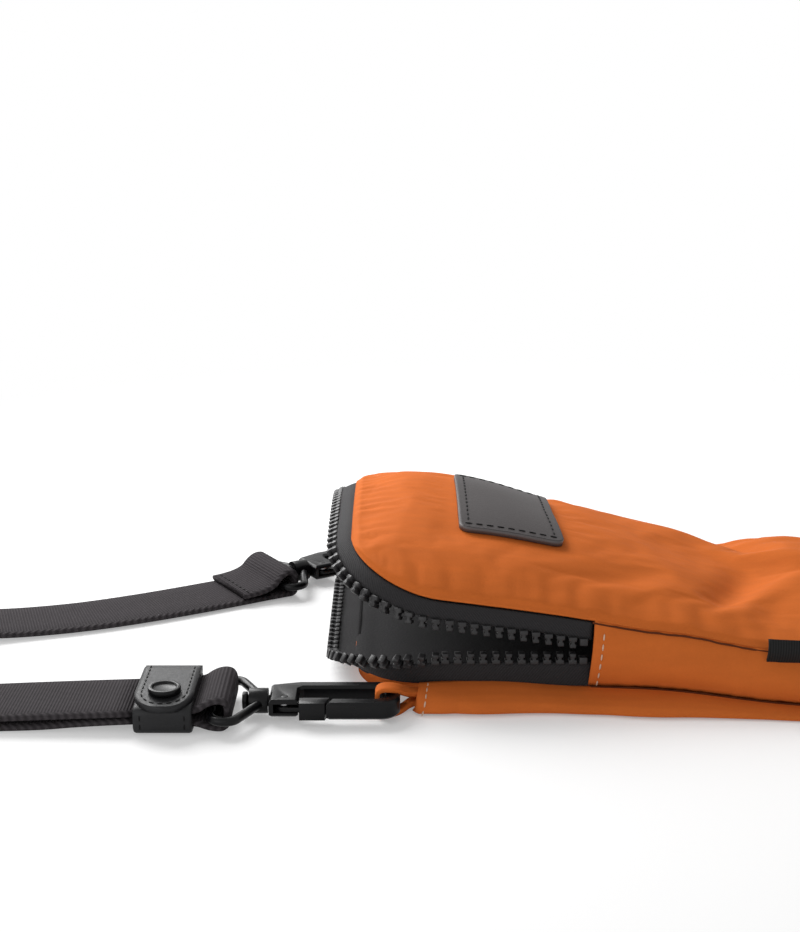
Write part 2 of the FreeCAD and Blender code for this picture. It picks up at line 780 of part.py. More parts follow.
outline(
    bridge,
    [
        (f"-{ARCH}", OUTSIDE),
        (f"-{ARCH} + Sizes.bridge_bar", OUTSIDE),
        (f"-{ARCH} + Sizes.bridge_bar", f"{OUTSIDE} + Sizes.bridge_room"),
        (f"{ARCH} - Sizes.bridge_bar", f"{OUTSIDE} + Sizes.bridge_room"),
        (f"{ARCH} - Sizes.bridge_bar", OUTSIDE),
        (ARCH, OUTSIDE),
        (ARCH, f"{OUTSIDE} + Sizes.bridge_room"),
        (f"{ARCH} - Sizes.bridge_bar", f"{OUTSIDE} + Sizes.bridge_room + Sizes.bridge_bar"),
        (f"-{ARCH} + Sizes.bridge_bar", f"{OUTSIDE} + Sizes.bridge_room + Sizes.bridge_bar"),
        (f"-{ARCH}", f"{OUTSIDE} + Sizes.bridge_room"),
    ],
)
pad(slider, bridge, "Sizes.bridge_width", midplane=True)

# Pull: a flat tab whose end bar turns under the bridge
slider_mid = (float(slider.evalExpression(SLIDER_LOW)) + float(slider.evalExpression(SLIDER_HIGH))) / 2
y_pull = y_zip + float(slider.evalExpression(OUTSIDE)) + v.bridge_room / 2
pull = new_body("zip_pull", Placement(Vector(x_slider, y_pull, slider_mid), Rotation()))
tab = new_sketch(pull, "tab", "XZ_Plane")
WINDOW_END = f"({ARCH} + Sizes.pull_room)"
outline(
    tab,
    [
        ("-Sizes.pull_plate / 2", "-Sizes.pull_waist / 2"),
        (WINDOW_END, "-Sizes.pull_waist / 2"),
        ("Sizes.pull_length - Sizes.pull_width / 2", "-Sizes.pull_width / 2", "Sizes.pull_width / 2", 1),
        ("Sizes.pull_length", "0", "Sizes.pull_width / 2", 1),
        ("Sizes.pull_length - Sizes.pull_width / 2", "Sizes.pull_width / 2"),
        (WINDOW_END, "Sizes.pull_waist / 2"),
        ("-Sizes.pull_plate / 2", "Sizes.pull_waist / 2"),
    ],
)
circle(tab, "Sizes.pull_length - Sizes.pull_width / 2", "0", "Sizes.pull_hole")
window = new_sketch(pull, "window", "XZ_Plane")
WINDOW_HALF = "(Sizes.bridge_width / 2 + Sizes.pull_room)"
outline(
    window,
    [
        ("Sizes.pull_plate / 2", f"-{WINDOW_HALF}"),
        (WINDOW_END, f"-{WINDOW_HALF}"),
        (WINDOW_END, WINDOW_HALF),
        ("Sizes.pull_plate / 2", WINDOW_HALF),
    ],
)
pad(pull, tab, "Sizes.pull_plate", midplane=True)
pocket(pull, window)

# Leather patch: a layer on the front wall, trimmed to a rounded rectangle
patch_at = x_mouth + v.patch_place
patch = arch_layer([patch_at, patch_at + v.patch_length], v.patch_ply + v.ply_gap, v.patch_ply)
blank = Part.makeBox(v.patch_length, v.patch_width, sky, Vector(patch_at, -v.patch_width / 2, 0))
uprights = [edge for edge in blank.Edges if edge.BoundBox.ZLength > v.patch_width]
feature("leather_patch", one_solid(patch.common(blank.makeFillet(v.patch_corner, uprights))))

# Side label: a folded ribbon held in the near seam, standing up beside the front wall
label_x = x_mouth + v.label_place
label = doc.addObject("Part::Box", "side_label")
bind(label, Length="Sizes.label_length", Width="Sizes.label_reach", Height="Sizes.label_ply")
label_seat = front_heights(label_x + v.label_length)[0] - v.shell_ply - v.label_ply
label_turn = Rotation(Vector(1, 0, 0), 180 - v.label_rise_angle)
label_out = half + v.ply_gap
label.Placement = Placement(Vector(label_x, -label_out, label_seat), label_turn)
keep(label, "side_label")


# Hooks
def hook(side, place):
    """Frame, gate, pin, spring, post and ring of one swivel hook, drawn along its own X axis."""
    wide, inner = "(Sizes.hook_width / 2)", "(Sizes.hook_width / 2 - Sizes.hook_arm)"
    block = "(Sizes.block_width / 2)"
    nose_in = "(Sizes.hook_length - Sizes.nose_bar)"
    frame = new_body(f"{side}_hook_frame", place)
    shape = new_sketch(frame, "shape", "XY_Plane")
    outline(
        shape,
        [
            ("0", f"-{block}"),
            ("Sizes.block_length", f"-{block}"),
            ("Sizes.block_length", f"{inner} - Sizes.gate_slant"),
            ("Sizes.block_length + Sizes.gate_slant", inner),
            (f"{nose_in} - Sizes.nose_round", inner, "Sizes.nose_round", -1),
            (nose_in, f"{inner} - Sizes.nose_round"),
            (nose_in, f"-{inner} + Sizes.nose_round", "Sizes.nose_round", -1),
            (f"{nose_in} - Sizes.nose_round", f"-{inner}"),
            ("Sizes.gate_joint", f"-{inner}"),
            ("Sizes.gate_joint - Sizes.gate_slant", f"-{wide}"),
            ("Sizes.hook_length - Sizes.nose_rise", f"-{wide}", "Sizes.nose_rise", 1),
            ("Sizes.hook_length", f"-{wide} + Sizes.nose_rise"),
            ("Sizes.hook_length", f"{wide} - Sizes.nose_rise", "Sizes.nose_rise", 1),
            ("Sizes.hook_length - Sizes.nose_rise", wide),
            ("Sizes.block_length", wide),
            ("0", block),
        ],
    )
    slot = new_sketch(frame, "slot", "XZ_Plane")
    outline(
        slot,
        [
            ("Sizes.clevis_end", "-Sizes.clevis_slot / 2"),
            ("Sizes.block_length + Sizes.overrun", "-Sizes.clevis_slot / 2"),
            ("Sizes.block_length + Sizes.overrun", "Sizes.clevis_slot / 2"),
            ("Sizes.clevis_end", "Sizes.clevis_slot / 2"),
        ],
    )
    hole = new_sketch(frame, "pin_hole", "XY_Plane")
    circle(hole, "Sizes.pivot_place", "-Sizes.pivot_drop", "Sizes.pin_diameter")
    pad(frame, shape, "Sizes.hook_thick", midplane=True)
    soften(frame, "Chamfer", "Sizes.hook_ease", lambda edge: edge.BoundBox.ZLength < v.hook_ease / 2)
    pocket(frame, slot, midplane=False, reverse=True)
    pocket(frame, hole)

    gate = new_body(f"{side}_hook_gate", place)
    lever = new_sketch(gate, "lever", "XY_Plane")
    start = "(Sizes.block_length + Sizes.gate_room)"
    outline(
        lever,
        [
            (start, f"-{wide}"),
            ("Sizes.gate_joint - Sizes.gate_slant - Sizes.gate_room", f"-{wide}"),
            ("Sizes.gate_joint - Sizes.gate_room", f"-{inner}"),
            (start, f"-{inner}"),
        ],
    )
    hub_low = "-Sizes.clevis_slot / 2 + Sizes.ply_gap"
    tongue = new_sketch(gate, "tongue", "XY_Plane", hub_low)
    hub = "(Sizes.hub_diameter / 2)"
    outline(
        tongue,
        [
            ("Sizes.pivot_place", f"-Sizes.pivot_drop - {hub}"),
            (f"{start} + Sizes.gate_slant", f"-Sizes.pivot_drop - {hub}"),
            (f"{start} + Sizes.gate_slant", f"-{inner}"),
            ("Sizes.pivot_place", f"-Sizes.pivot_drop + {hub}", hub, 1),
            (f"Sizes.pivot_place - {hub}", "-Sizes.pivot_drop", hub, 1),
        ],
    )
    bore = new_sketch(gate, "bore", "XY_Plane")
    circle(bore, "Sizes.pivot_place", "-Sizes.pivot_drop", "Sizes.pin_diameter + 2 * Sizes.pin_play")
    pad(gate, lever, "Sizes.hook_thick", midplane=True)
    pad(gate, tongue, "Sizes.hub_ply")
    pocket(gate, bore)

    pivot = place.multVec(Vector(v.pivot_place, -v.pivot_drop, 0))
    pin = doc.addObject("Part::Cylinder", f"{side}_gate_pin")
    bind(pin, Radius="Sizes.pin_diameter / 2", Height="Sizes.hook_thick")
    pin.Placement = Placement(pivot - Vector(0, 0, v.hook_thick / 2), Rotation())
    keep(pin, f"{side}_gate_pin")

    spring_low = -v.clevis_slot / 2 + v.hub_ply + 2 * v.ply_gap
    coil = Part.makeCylinder(v.spring_diameter / 2, v.spring_rise)
    coil = coil.cut(Part.makeCylinder(v.pin_diameter / 2 + v.pin_play, v.spring_rise))
    feature(f"{side}_gate_spring", coil, Placement(pivot + Vector(0, 0, spring_low), Rotation()))

    post_body = new_body(f"{side}_swivel_post", place)
    turned = new_sketch(post_body, "turned", "XY_Plane")
    outline(
        turned,
        [
            ("0", "0"),
            ("0", "Sizes.post_diameter / 2"),
            ("-Sizes.post_length", "Sizes.post_diameter / 2"),
            ("-Sizes.post_length", "Sizes.post_head / 2"),
            ("-Sizes.post_length - Sizes.post_head_rise", "Sizes.post_head / 2"),
            ("-Sizes.post_length - Sizes.post_head_rise", "0"),
        ],
    )
    spun = post_body.newObject("PartDesign::Revolution", f"{side}_post_spun")
    spun.Profile = turned
    spun.ReferenceAxis = (turned, ["H_Axis"])
    doc.recompute()

    boss_end = -v.boss_gap - v.boss_length
    shoulder_x = boss_end + v.boss_length / 2
    route = [
        Vector(shoulder_x, v.post_diameter, 0),
        Vector(-v.ring_reach + v.ring_side, v.ring_half, 0),
        Vector(-v.ring_reach, v.ring_half, 0),
        Vector(-v.ring_reach, -v.ring_half, 0),
        Vector(-v.ring_reach + v.ring_side, -v.ring_half, 0),
        Vector(shoulder_x, -v.post_diameter, 0),
    ]
    path = Part.Wire(rounded_route(route, [v.ring_bend] * (len(route) - 2)))
    start_dir = (route[1] - route[0]).normalize()
    section = Part.Wire(Part.Circle(route[0], start_dir, v.ring_wire / 2).toShape())
    wire = path.makePipeShell([section], True, False)
    boss = Part.makeCylinder(v.boss_diameter / 2, v.boss_length, Vector(boss_end, 0, 0), Vector(1, 0, 0))
    bore_cut = Part.makeCylinder(
        v.post_diameter / 2 + v.post_play,
        v.boss_length + 2 * v.overrun,
        Vector(boss_end - v.overrun, 0, 0),
        Vector(1, 0, 0),
    )
    feature(f"{side}_swivel_ring", one_solid(wire.fuse(boss).cut(bore_cut).removeSplitter()), place)


def rounded_route(points, radii):
    """Edges of straight runs joined by tangent arcs, one radius for each inner point."""
    edges, start = [], points[0]
    for before, corner, after, radius in zip(points, points[1:], points[2:], radii):
        back_way, on_way = (before - corner).normalize(), (after - corner).normalize()
        half_angle = back_way.getAngle(on_way) / 2
        reach = radius / math.tan(half_angle)
        middle_way = (back_way + on_way).normalize()
        centre = corner + middle_way * (radius / math.sin(half_angle))
        first, last = corner + back_way * reach, corner + on_way * reach
        if (first - start).Length > v.ply_gap:
            edges.append(Part.LineSegment(start, first).toShape())
        edges.append(Part.Arc(first, centre - middle_way * radius, last).toShape())
        start = last
    edges.append(Part.LineSegment(start, points[-1]).toShape())
    return edges


hook("near", near_hook_place)
hook("far", far_hook_place)


# Ribbons: a flat band along a plane path of lines and arcs, given its width square to that plane
def ribbon(edges, normal, ply, width):
    """Solid band of the given ply along the edges, which run on from each other in one plane."""
    sides = ([], [])
    for edge in edges:
        first, last = edge.valueAt(edge.FirstParameter), edge.valueAt(edge.LastParameter)
        middle = edge.valueAt((edge.FirstParameter + edge.LastParameter) / 2)
        stops = [(edge.FirstParameter, first), (0, middle), (edge.LastParameter, last)]
        ways = [edge.tangentAt(p) for p in (stops[0][0], (edge.FirstParameter + edge.LastParameter) / 2, stops[2][0])]
        for side, sign in zip(sides, (1, -1)):
            points = [p + normal.cross(way) * (sign * ply / 2) for (_, p), way in zip(stops, ways)]
            points = [p - normal * (width / 2) for p in points]
            straight = edge.Curve.TypeId == "Part::GeomLine"
            side.append(Part.LineSegment(points[0], points[2]) if straight else Part.Arc(*points))
    left, right = [[item.toShape() for item in side] for side in sides]
    tips = []
    for index, end in ((0, 0), (-1, -1)):
        pair = [side[index].valueAt(side[index].FirstParameter if end == 0 else side[index].LastParameter) for side in (left, right)]
        tips.append(Part.LineSegment(*pair).toShape())
    ring = Part.Wire(Part.__sortEdges__(left + right + tips))
    return Part.Face(ring).extrude(normal * width)


# Tabs: a folded strip round the hook's nose bar, and the cloth anchor that it is sewn into
def tab_and_anchor(side, sign, reach, room):
    bar_half = v.nose_bar / 2 + room + v.tab_ply / 2
    over = v.hook_thick / 2 + v.tab_room_over + v.tab_ply / 2
    nip = (v.tab_ply + v.ply_gap) / 2
    neck = bar_half + v.tab_neck
    route = [
        Vector(neck + v.tab_neck, 0, nip),
        Vector(neck, 0, nip),
        Vector(bar_half, 0, over),
        Vector(-bar_half, 0, over),
        Vector(-bar_half, 0, -over),
        Vector(bar_half, 0, -over),
        Vector(neck, 0, -nip),
        Vector(neck + v.tab_neck, 0, -nip),
    ]
    strip = ribbon(rounded_route(route, [v.tab_bend] * (len(route) - 2)), Vector(0, 1, 0), v.tab_ply, v.tab_width)
    feature(f"{side}_tab", strip, Placement(Vector(x_tab, sign * reach, v.hook_height), Rotation()))
    x0 = x_tab + neck + v.tab_neck
    outer, seat = sign * (reach + v.tab_width / 2), sign * (half + v.ply_gap)
    toe = sign * (half + v.ply_gap + v.anchor_toe)
    corners = [
        Vector(x0, seat, v.anchor_lift),
        Vector(x0, outer, v.anchor_lift),
        Vector(x0 + v.anchor_straight, outer, v.anchor_lift),
        Vector(x0 + v.anchor_length, toe, v.anchor_lift),
        Vector(x0 + v.anchor_length, seat, v.anchor_lift),
    ]
    face = Part.Face(Part.makePolygon(corners + corners[:1]))
    feature(f"{side}_tab_anchor", face.extrude(Vector(0, 0, v.anchor_height)))


tab_and_anchor("near", -1, near_tab_reach, v.near_tab_room)
tab_and_anchor("far", 1, far_tab_reach, v.far_tab_room)

# Near end of the strap: round the ring and back through the keeper, in the hook's own frame
to_floor = v.hook_height
lower_z = v.leather_ply + 2 * v.leather_gap + v.web_ply / 2 - to_floor
upper_z = lower_z + v.web_ply + v.web_gap
low_z, high_z = v.loop_low - to_floor, v.loop_low + v.loop_height - to_floor - v.web_ply / 2
keeper_end = v.keeper_start + v.keeper_length
front = -v.loop_front - v.web_ply / 2


def strap_loop(back_end, neck_start, lower, upper):
    return [
        Vector(-back_end, 0, lower),
        Vector(-neck_start, 0, lower),
        Vector(-neck_start + v.loop_neck, 0, low_z),
        Vector(front, 0, low_z),
        Vector(front, 0, high_z),
        Vector(front - v.loop_neck, 0, high_z),
        Vector(-neck_start, 0, upper),
        Vector(-back_end, 0, upper),
    ]


side_way = Vector(0, 1, 0)
neck_start = v.keeper_start - v.neck_room
route = strap_loop(keeper_end, neck_start, lower_z, upper_z)
loop = ribbon(rounded_route(route, [v.loop_bend] * (len(route) - 2)), side_way, v.web_ply, v.web_width)
feature("near_strap_loop", loop, near_hook_place)

fold_end = v.keeper_start + v.fold_length - v.keeper_length + v.loop_neck
fold_upper = low_z + v.web_ply + v.web_gap
route = strap_loop(fold_end, neck_start, low_z, fold_upper)
del route[2]
loop = ribbon(rounded_route(route[1:], [v.loop_bend] * (len(route) - 3)), side_way, v.web_ply, v.web_width)
feature("far_strap_fold", loop, far_hook_place)

# Keeper: a leather band round both plies, a flap over it and a snap
KEEP_HALF = "(Sizes.web_width / 2 + Sizes.leather_gap)"
KEEP_OUT = f"({KEEP_HALF} + Sizes.leather_ply)"
KEEP_LOW = "(Sizes.leather_gap - Sizes.hook_height)"
KEEP_IN_LOW = f"({KEEP_LOW} + Sizes.leather_ply)"
KEEP_IN_HIGH = f"({KEEP_IN_LOW} + 2 * Sizes.web_ply + Sizes.web_gap + 2 * Sizes.leather_gap)"
KEEP_HIGH = f"({KEEP_IN_HIGH} + Sizes.leather_ply)"
keeper_place = Placement(near_hook_at - Vector(keeper_end, 0, 0), Rotation())
band = new_body("keeper_band", keeper_place)
section = new_sketch(band, "section", "YZ_Plane")
outline(section, rounded_box(f"-{KEEP_OUT}", KEEP_OUT, KEEP_LOW, KEEP_HIGH, "Sizes.keeper_round"))
inside = new_sketch(band, "inside", "YZ_Plane")
outline(
    inside,
    [
        (f"-{KEEP_HALF}", KEEP_IN_LOW),
        (KEEP_HALF, KEEP_IN_LOW),
        (KEEP_HALF, KEEP_IN_HIGH),
        (f"-{KEEP_HALF}", KEEP_IN_HIGH),
    ],
)
pad(band, section, "Sizes.keeper_length")
pocket(band, inside)

flap = new_body("keeper_flap", keeper_place)
leaf = new_sketch(flap, "leaf", "XY_Plane", f"{KEEP_HIGH} + Sizes.flap_gap")
SNAP_Y = f"(-{KEEP_OUT} + Sizes.snap_place)"
outline(
    leaf,
    [
        ("0", f"{KEEP_OUT} - Sizes.keeper_round"),
        ("0", f"-{KEEP_OUT} + Sizes.flap_tip - Sizes.flap_short", "Sizes.flap_tip", 1),
        ("Sizes.flap_tip", f"-{KEEP_OUT} - Sizes.flap_short"),
        ("Sizes.keeper_length - Sizes.flap_tip", f"-{KEEP_OUT} - Sizes.flap_short", "Sizes.flap_tip", 1),
        ("Sizes.keeper_length", f"-{KEEP_OUT} + Sizes.flap_tip - Sizes.flap_short"),
        ("Sizes.keeper_length", f"{KEEP_OUT} - Sizes.keeper_round"),
    ],
)
circle(leaf, "Sizes.keeper_length / 2", SNAP_Y, "Sizes.stud_diameter + 2 * Sizes.stud_room")
pad(flap, leaf, "Sizes.leather_ply")

stud = new_body("snap_stud", keeper_place)
spot = new_sketch(stud, "spot", "XY_Plane", KEEP_HIGH)
circle(spot, "Sizes.keeper_length / 2", SNAP_Y, "Sizes.stud_diameter")
pad(stud, spot, "Sizes.stud_rise")

cap = new_body("snap_cap", keeper_place)
spot = new_sketch(cap, "spot", "XY_Plane", f"{KEEP_HIGH} + Sizes.flap_gap + Sizes.leather_ply")
circle(spot, "Sizes.keeper_length / 2", SNAP_Y, "Sizes.snap_diameter")
dish = new_sketch(cap, "dish", "XY_Plane", f"{KEEP_HIGH} + Sizes.flap_gap + Sizes.leather_ply + Sizes.snap_rise - Sizes.snap_dish")
circle(dish, "Sizes.keeper_length / 2", SNAP_Y, "Sizes.snap_diameter - 2 * Sizes.snap_rim")
pad(cap, spot, "Sizes.snap_rise")
pocket(cap, dish, midplane=False, reverse=True)

# Near run and tail: two plies that come down to the floor past the keeper
x_keeper = near_hook_at.x - keeper_end
y_near = -near_tab_reach
run_z, tail_z = upper_z + to_floor, lower_z + to_floor
x_free = x_keeper - v.ply_gap
run_end = Vector(x_keeper - v.near_flat, y_near, run_z - v.run_drop)
slanted = [Part.LineSegment(run_end, Vector(x_free, y_near, run_z)).toShape()]
feature("near_strap_run", ribbon(slanted, side_way, v.web_ply, v.web_width))
tail_tip = Vector(x_keeper - v.tail_length, y_near, tail_z - v.tail_drop)
slanted = [Part.LineSegment(tail_tip, Vector(x_free, y_near, tail_z)).toShape()]
feature("near_strap_tail", ribbon(slanted, side_way, v.web_ply, v.web_width))

# Far run: flat on the floor, in one long bend from the sewn fold to the left
up = Vector(0, 0, 1)
far_start = far_hook_place.multVec(Vector(-v.keeper_start - v.ply_gap, 0, low_z))
start_way = far_turn.multVec(Vector(-1, 0, 0))
run_turn = v.far_flat / v.far_bend
bend_centre = far_start - up.cross(start_way) * v.far_bend


def about(point, centre, angle):
    return centre + Rotation(up, math.degrees(angle)).multVec(point - centre)


far_end = about(far_start, bend_centre, -run_turn)
sweep = Part.Arc(far_start, about(far_start, bend_centre, -run_turn / 2), far_end).toShape()
feature("far_strap_run", ribbon([sweep], up, v.web_width, v.web_ply))
far_way = Rotation(up, -math.degrees(run_turn)).multVec(start_way)


def twist(label, start, way, low_start):
    """Strap that turns from flat on the floor to standing on edge."""
    start = start + way * v.ply_gap
    across = up.cross(way)
    rings = []
    for step in range(TWIST_STEPS + 1):
        share = step / TWIST_STEPS
        angle = share * math.pi / 2
        wide = across * math.cos(angle) + up * math.sin(angle)
        thin = way.cross(wide)
        rise = (v.web_width * math.sin(angle) + v.web_ply * math.cos(angle)) / 2
        low = low_start + (v.edge_lift - low_start) * share
        middle = Vector(start.x, start.y, 0) + way * (v.twist_length * share) + up * (low + rise)
        side, face = wide * (v.web_width / 2), thin * (v.web_ply / 2)
        corners = [middle - side - face, middle + side - face, middle + side + face, middle - side + face]
        rings.append(Part.makePolygon(corners + corners[:1]))
    feature(label, Part.makeLoft(rings, True, True))
    return Vector(start.x, start.y, 0) + way * v.twist_length


left_way = Vector(-1, 0, 0)
near_edge = twist("near_strap_twist", run_end, left_way, run_end.z - v.web_ply / 2)
far_edge = twist("far_strap_twist", far_end, far_way, far_end.z - v.web_ply / 2)

# Roll: the strap folded in half and rolled up, standing on edge; both strands leave at the near side
near_radius = v.roll_core + v.near_half_turns * v.roll_pitch
far_radius = v.roll_core + v.far_half_turns * v.roll_pitch
leave_radius = far_radius + v.roll_pitch / 2
leave, arrive = math.radians(v.far_leave_angle), math.atan2(-far_way.y, -far_way.x)
back_bend = math.copysign(v.far_back_bend, leave - arrive)
roll_y = y_near + near_radius
rise = far_edge.y - roll_y + far_radius - leave_radius * (1 - math.cos(leave))
straight = (rise - back_bend * (math.cos(arrive) - math.cos(leave))) / math.sin(leave)
reach = leave_radius * math.sin(leave) + straight * math.cos(leave)
reach += back_bend * (math.sin(leave) - math.sin(arrive))
roll_centre = Vector(far_edge.x - reach, roll_y, 0)


def roll_arc(centre, start, angle):
    """Arc from start about centre, turning left by angle in degrees."""
    turned = [centre + Rotation(up, share * angle).multVec(start - centre) for share in (0.5, 1)]
    return Part.Arc(start, turned[0], turned[1]).toShape()


def strand(first_end, half_turns):
    """Half turns from the core outwards; each is one pitch wider than the last."""
    edges, point = [], first_end
    for turn in range(int(half_turns)):
        inward = (roll_centre - point).normalize()
        radius = v.roll_core + (turn + 0.5) * v.roll_pitch
        edges.append(roll_arc(point + inward * radius, point, 180))
        point = edges[-1].valueAt(edges[-1].LastParameter)
    return edges, point


core = Vector(0, -v.roll_core, 0)
near_strand, near_out = strand(roll_centre + core, v.near_half_turns)
far_strand, far_out = strand(roll_centre - core, v.far_half_turns)
near_straight = Part.LineSegment(near_out, near_edge).toShape()
far_leave = roll_arc(far_out + Vector(0, leave_radius, 0), far_out, v.far_leave_angle)
leave_point = far_leave.valueAt(far_leave.LastParameter)
leave_way = Vector(math.cos(leave), math.sin(leave), 0)
bend_start = leave_point + leave_way * straight
bend_middle = bend_start + Vector(leave_way.y, -leave_way.x, 0) * back_bend
far_tail = [
    Part.LineSegment(leave_point, bend_start).toShape(),
    roll_arc(bend_middle, bend_start, math.degrees(arrive - leave)),
]
s_mid = roll_centre
s_far = roll_arc((roll_centre - core + s_mid) / 2, s_mid, 180)
s_near = roll_arc((roll_centre + core + s_mid) / 2, roll_centre + core, -180)


def turned_back(edge):
    """The same line or arc, run the other way."""
    first, last = edge.FirstParameter, edge.LastParameter
    ends = [edge.valueAt(last), edge.valueAt((first + last) / 2), edge.valueAt(first)]
    if edge.Curve.TypeId == "Part::GeomLine":
        return Part.LineSegment(ends[0], ends[2]).toShape()
    return Part.Arc(*ends).toShape()


inwards = [turned_back(edge) for edge in reversed(near_strand + [near_straight])]
roll_path = inwards + [s_near, s_far] + far_strand + [far_leave] + far_tail
roll = one_solid(ribbon(roll_path, up, v.web_ply, v.web_width))
feature("strap_roll", roll, Placement(up * (v.edge_lift + v.web_width / 2), Rotation()))

samples = []
for edge in roll_path:
    count = max(2, round(edge.Length / v.web_ply))
    samples += [edge.valueAt(p) for p in [edge.FirstParameter + (edge.LastParameter - edge.FirstParameter) * i / count for i in range(count)]]
apart = round(2 * v.roll_pitch / v.web_ply)
least = min((a - b).Length for i, a in enumerate(samples) for b in samples[i + apart:])
print(f"strap roll: least gap to itself {least - v.web_ply:.2f} mm")
print(f"strap roll: volume {roll.Volume:.0f}, section times length {sum(e.Length for e in roll_path) * v.web_ply * v.web_width:.0f}")
print(f"strap length from keeper to far fold {sum(e.Length for e in roll_path) + 2 * v.twist_length + v.near_flat + v.far_flat:.0f} mm")

# Tie: a thin loop of tape round one side of the roll
tie_out = v.roll_core + (v.near_half_turns - 0.5) * v.roll_pitch + v.web_ply / 2 + v.tie_gap
tie_size = Vector(tie_out - v.tie_inner, v.tie_width, v.web_width + 2 * v.tie_gap)
tie_at = roll_centre + Vector(-tie_out, -v.tie_width / 2, v.edge_lift - v.tie_gap)
outer_box = Part.makeBox(
    tie_size.x + 2 * v.tie_ply, tie_size.y, tie_size.z + 2 * v.tie_ply, tie_at - Vector(v.tie_ply, 0, v.tie_ply)
)
inner_box = Part.makeBox(
    tie_size.x, tie_size.y + 2 * v.overrun, tie_size.z, tie_at - Vector(0, v.overrun, 0)
)
feature("strap_tie", one_solid(outer_box.cut(inner_box)))

# Check every object, then write the sub-parts
doc.recompute()
for obj in doc.Objects:
    if "Invalid" in obj.State or "Error" in obj.State:
        raise ValueError(f"{obj.Name} failed: {obj.State}")
os.makedirs("parts", exist_ok=True)
for label, obj in parts.items():
    shape = obj.Shape
    if shape.isNull() or not shape.isValid() or not shape.Solids:
        raise ValueError(f"{label} has no valid solid")
for label, obj in parts.items():
    obj.Shape.exportStep(f"parts/{label}.step")
print(len(parts), "sub-parts written")
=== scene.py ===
# %% [markdown]
# # A padded phone pouch with a rolled-up strap
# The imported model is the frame: every piece below goes where its solids are, in the same axes and in metres.
# A piece could also be fitted by eye in the picture, but then it would sit wrongly from any other side,
# so each one is placed by the frame's own numbers and the camera is set to suit them.

# %% Load the frame
import math

import bmesh
import bpy
from mathutils import Matrix, Vector, noise
from mathutils.bvhtree import BVHTree


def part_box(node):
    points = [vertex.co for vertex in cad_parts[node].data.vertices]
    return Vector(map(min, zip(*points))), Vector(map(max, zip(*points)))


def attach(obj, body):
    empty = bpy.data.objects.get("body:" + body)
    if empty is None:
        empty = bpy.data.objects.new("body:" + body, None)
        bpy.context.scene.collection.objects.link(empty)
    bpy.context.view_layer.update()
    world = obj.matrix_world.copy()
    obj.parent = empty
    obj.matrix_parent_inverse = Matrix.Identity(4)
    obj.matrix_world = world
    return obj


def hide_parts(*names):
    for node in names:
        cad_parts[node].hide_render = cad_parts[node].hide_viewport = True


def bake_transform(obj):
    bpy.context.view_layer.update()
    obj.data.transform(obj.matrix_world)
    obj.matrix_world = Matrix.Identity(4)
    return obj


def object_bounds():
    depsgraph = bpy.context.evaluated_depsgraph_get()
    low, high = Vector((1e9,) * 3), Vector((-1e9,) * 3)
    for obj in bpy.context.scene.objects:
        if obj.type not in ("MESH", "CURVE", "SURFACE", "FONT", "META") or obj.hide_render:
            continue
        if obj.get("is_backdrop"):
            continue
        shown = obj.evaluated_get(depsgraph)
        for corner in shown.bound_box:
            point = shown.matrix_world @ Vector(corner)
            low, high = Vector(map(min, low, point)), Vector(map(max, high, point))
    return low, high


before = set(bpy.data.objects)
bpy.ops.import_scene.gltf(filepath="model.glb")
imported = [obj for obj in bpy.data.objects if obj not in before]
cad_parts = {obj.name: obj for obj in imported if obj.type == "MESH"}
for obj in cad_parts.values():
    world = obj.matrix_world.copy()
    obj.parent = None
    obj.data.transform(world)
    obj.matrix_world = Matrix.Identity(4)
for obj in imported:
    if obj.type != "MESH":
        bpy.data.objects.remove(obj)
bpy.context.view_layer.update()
scene = bpy.context.scene
MM = 0.001


# %% [markdown]
# ## Camera and light
# The camera's lens and height come from the picture's own lines: the webbing's edges and the zip's two legs.
# The light could be one big dome, but the picture is brighter at the mouth than at the foot, so a lamp behind
# the mouth lights the front, and a weaker one in front of it lights the side towards the camera.

# %% Camera and light
camera = bpy.data.objects.new("camera", bpy.data.cameras.new("camera"))
scene.collection.objects.link(camera)
camera.location = Vector((-77.0, -489.5, 185.4)) * MM
camera.rotation_euler = (math.radians(75), 0, 0)
camera.data.lens = 63.7
camera.data.clip_start = 0.01
scene.camera = camera
scene.view_settings.view_transform = "Standard"


def area_light(name, place, aim, size, watts):
    """A soft square lamp at a place, turned to a point."""
    lamp = bpy.data.lights.new(name, "AREA")
    lamp.size, lamp.energy = size, watts
    lamp_object = bpy.data.objects.new(name, lamp)
    scene.collection.objects.link(lamp_object)
    lamp_object.location = Vector(place)
    lamp_object.rotation_euler = (Vector(aim) - Vector(place)).to_track_quat("-Z", "Y").to_euler()


area_light("back_lamp", (-0.36, 0.33, 0.40), (-0.08, 0, 0.02), 0.45, 5.0)
area_light("front_lamp", (-0.5, -0.6, 0.22), (-0.05, 0, 0.02), 0.6, 1.5)
print("camera at", tuple(round(c, 3) for c in camera.location))


# %% [markdown]
# ## Materials as formulas
# A material's nodes can be wired one by one, but long wiring hides the idea. Here a small wrapper lets sockets
# take part in sums, so a weave reads as a formula of how far along and how far across the tape a point is.

# %% Node wrapper
class Field:
    """A node's output that can be added, multiplied and so on."""

    def __init__(self, tree, socket):
        self.tree, self.socket = tree, socket

    def __add__(self, other):
        return self.tree.math("ADD", self, other)

    def __rsub__(self, other):
        return self.tree.math("SUBTRACT", other, self)

    def __mul__(self, other):
        return self.tree.math("MULTIPLY", self, other)


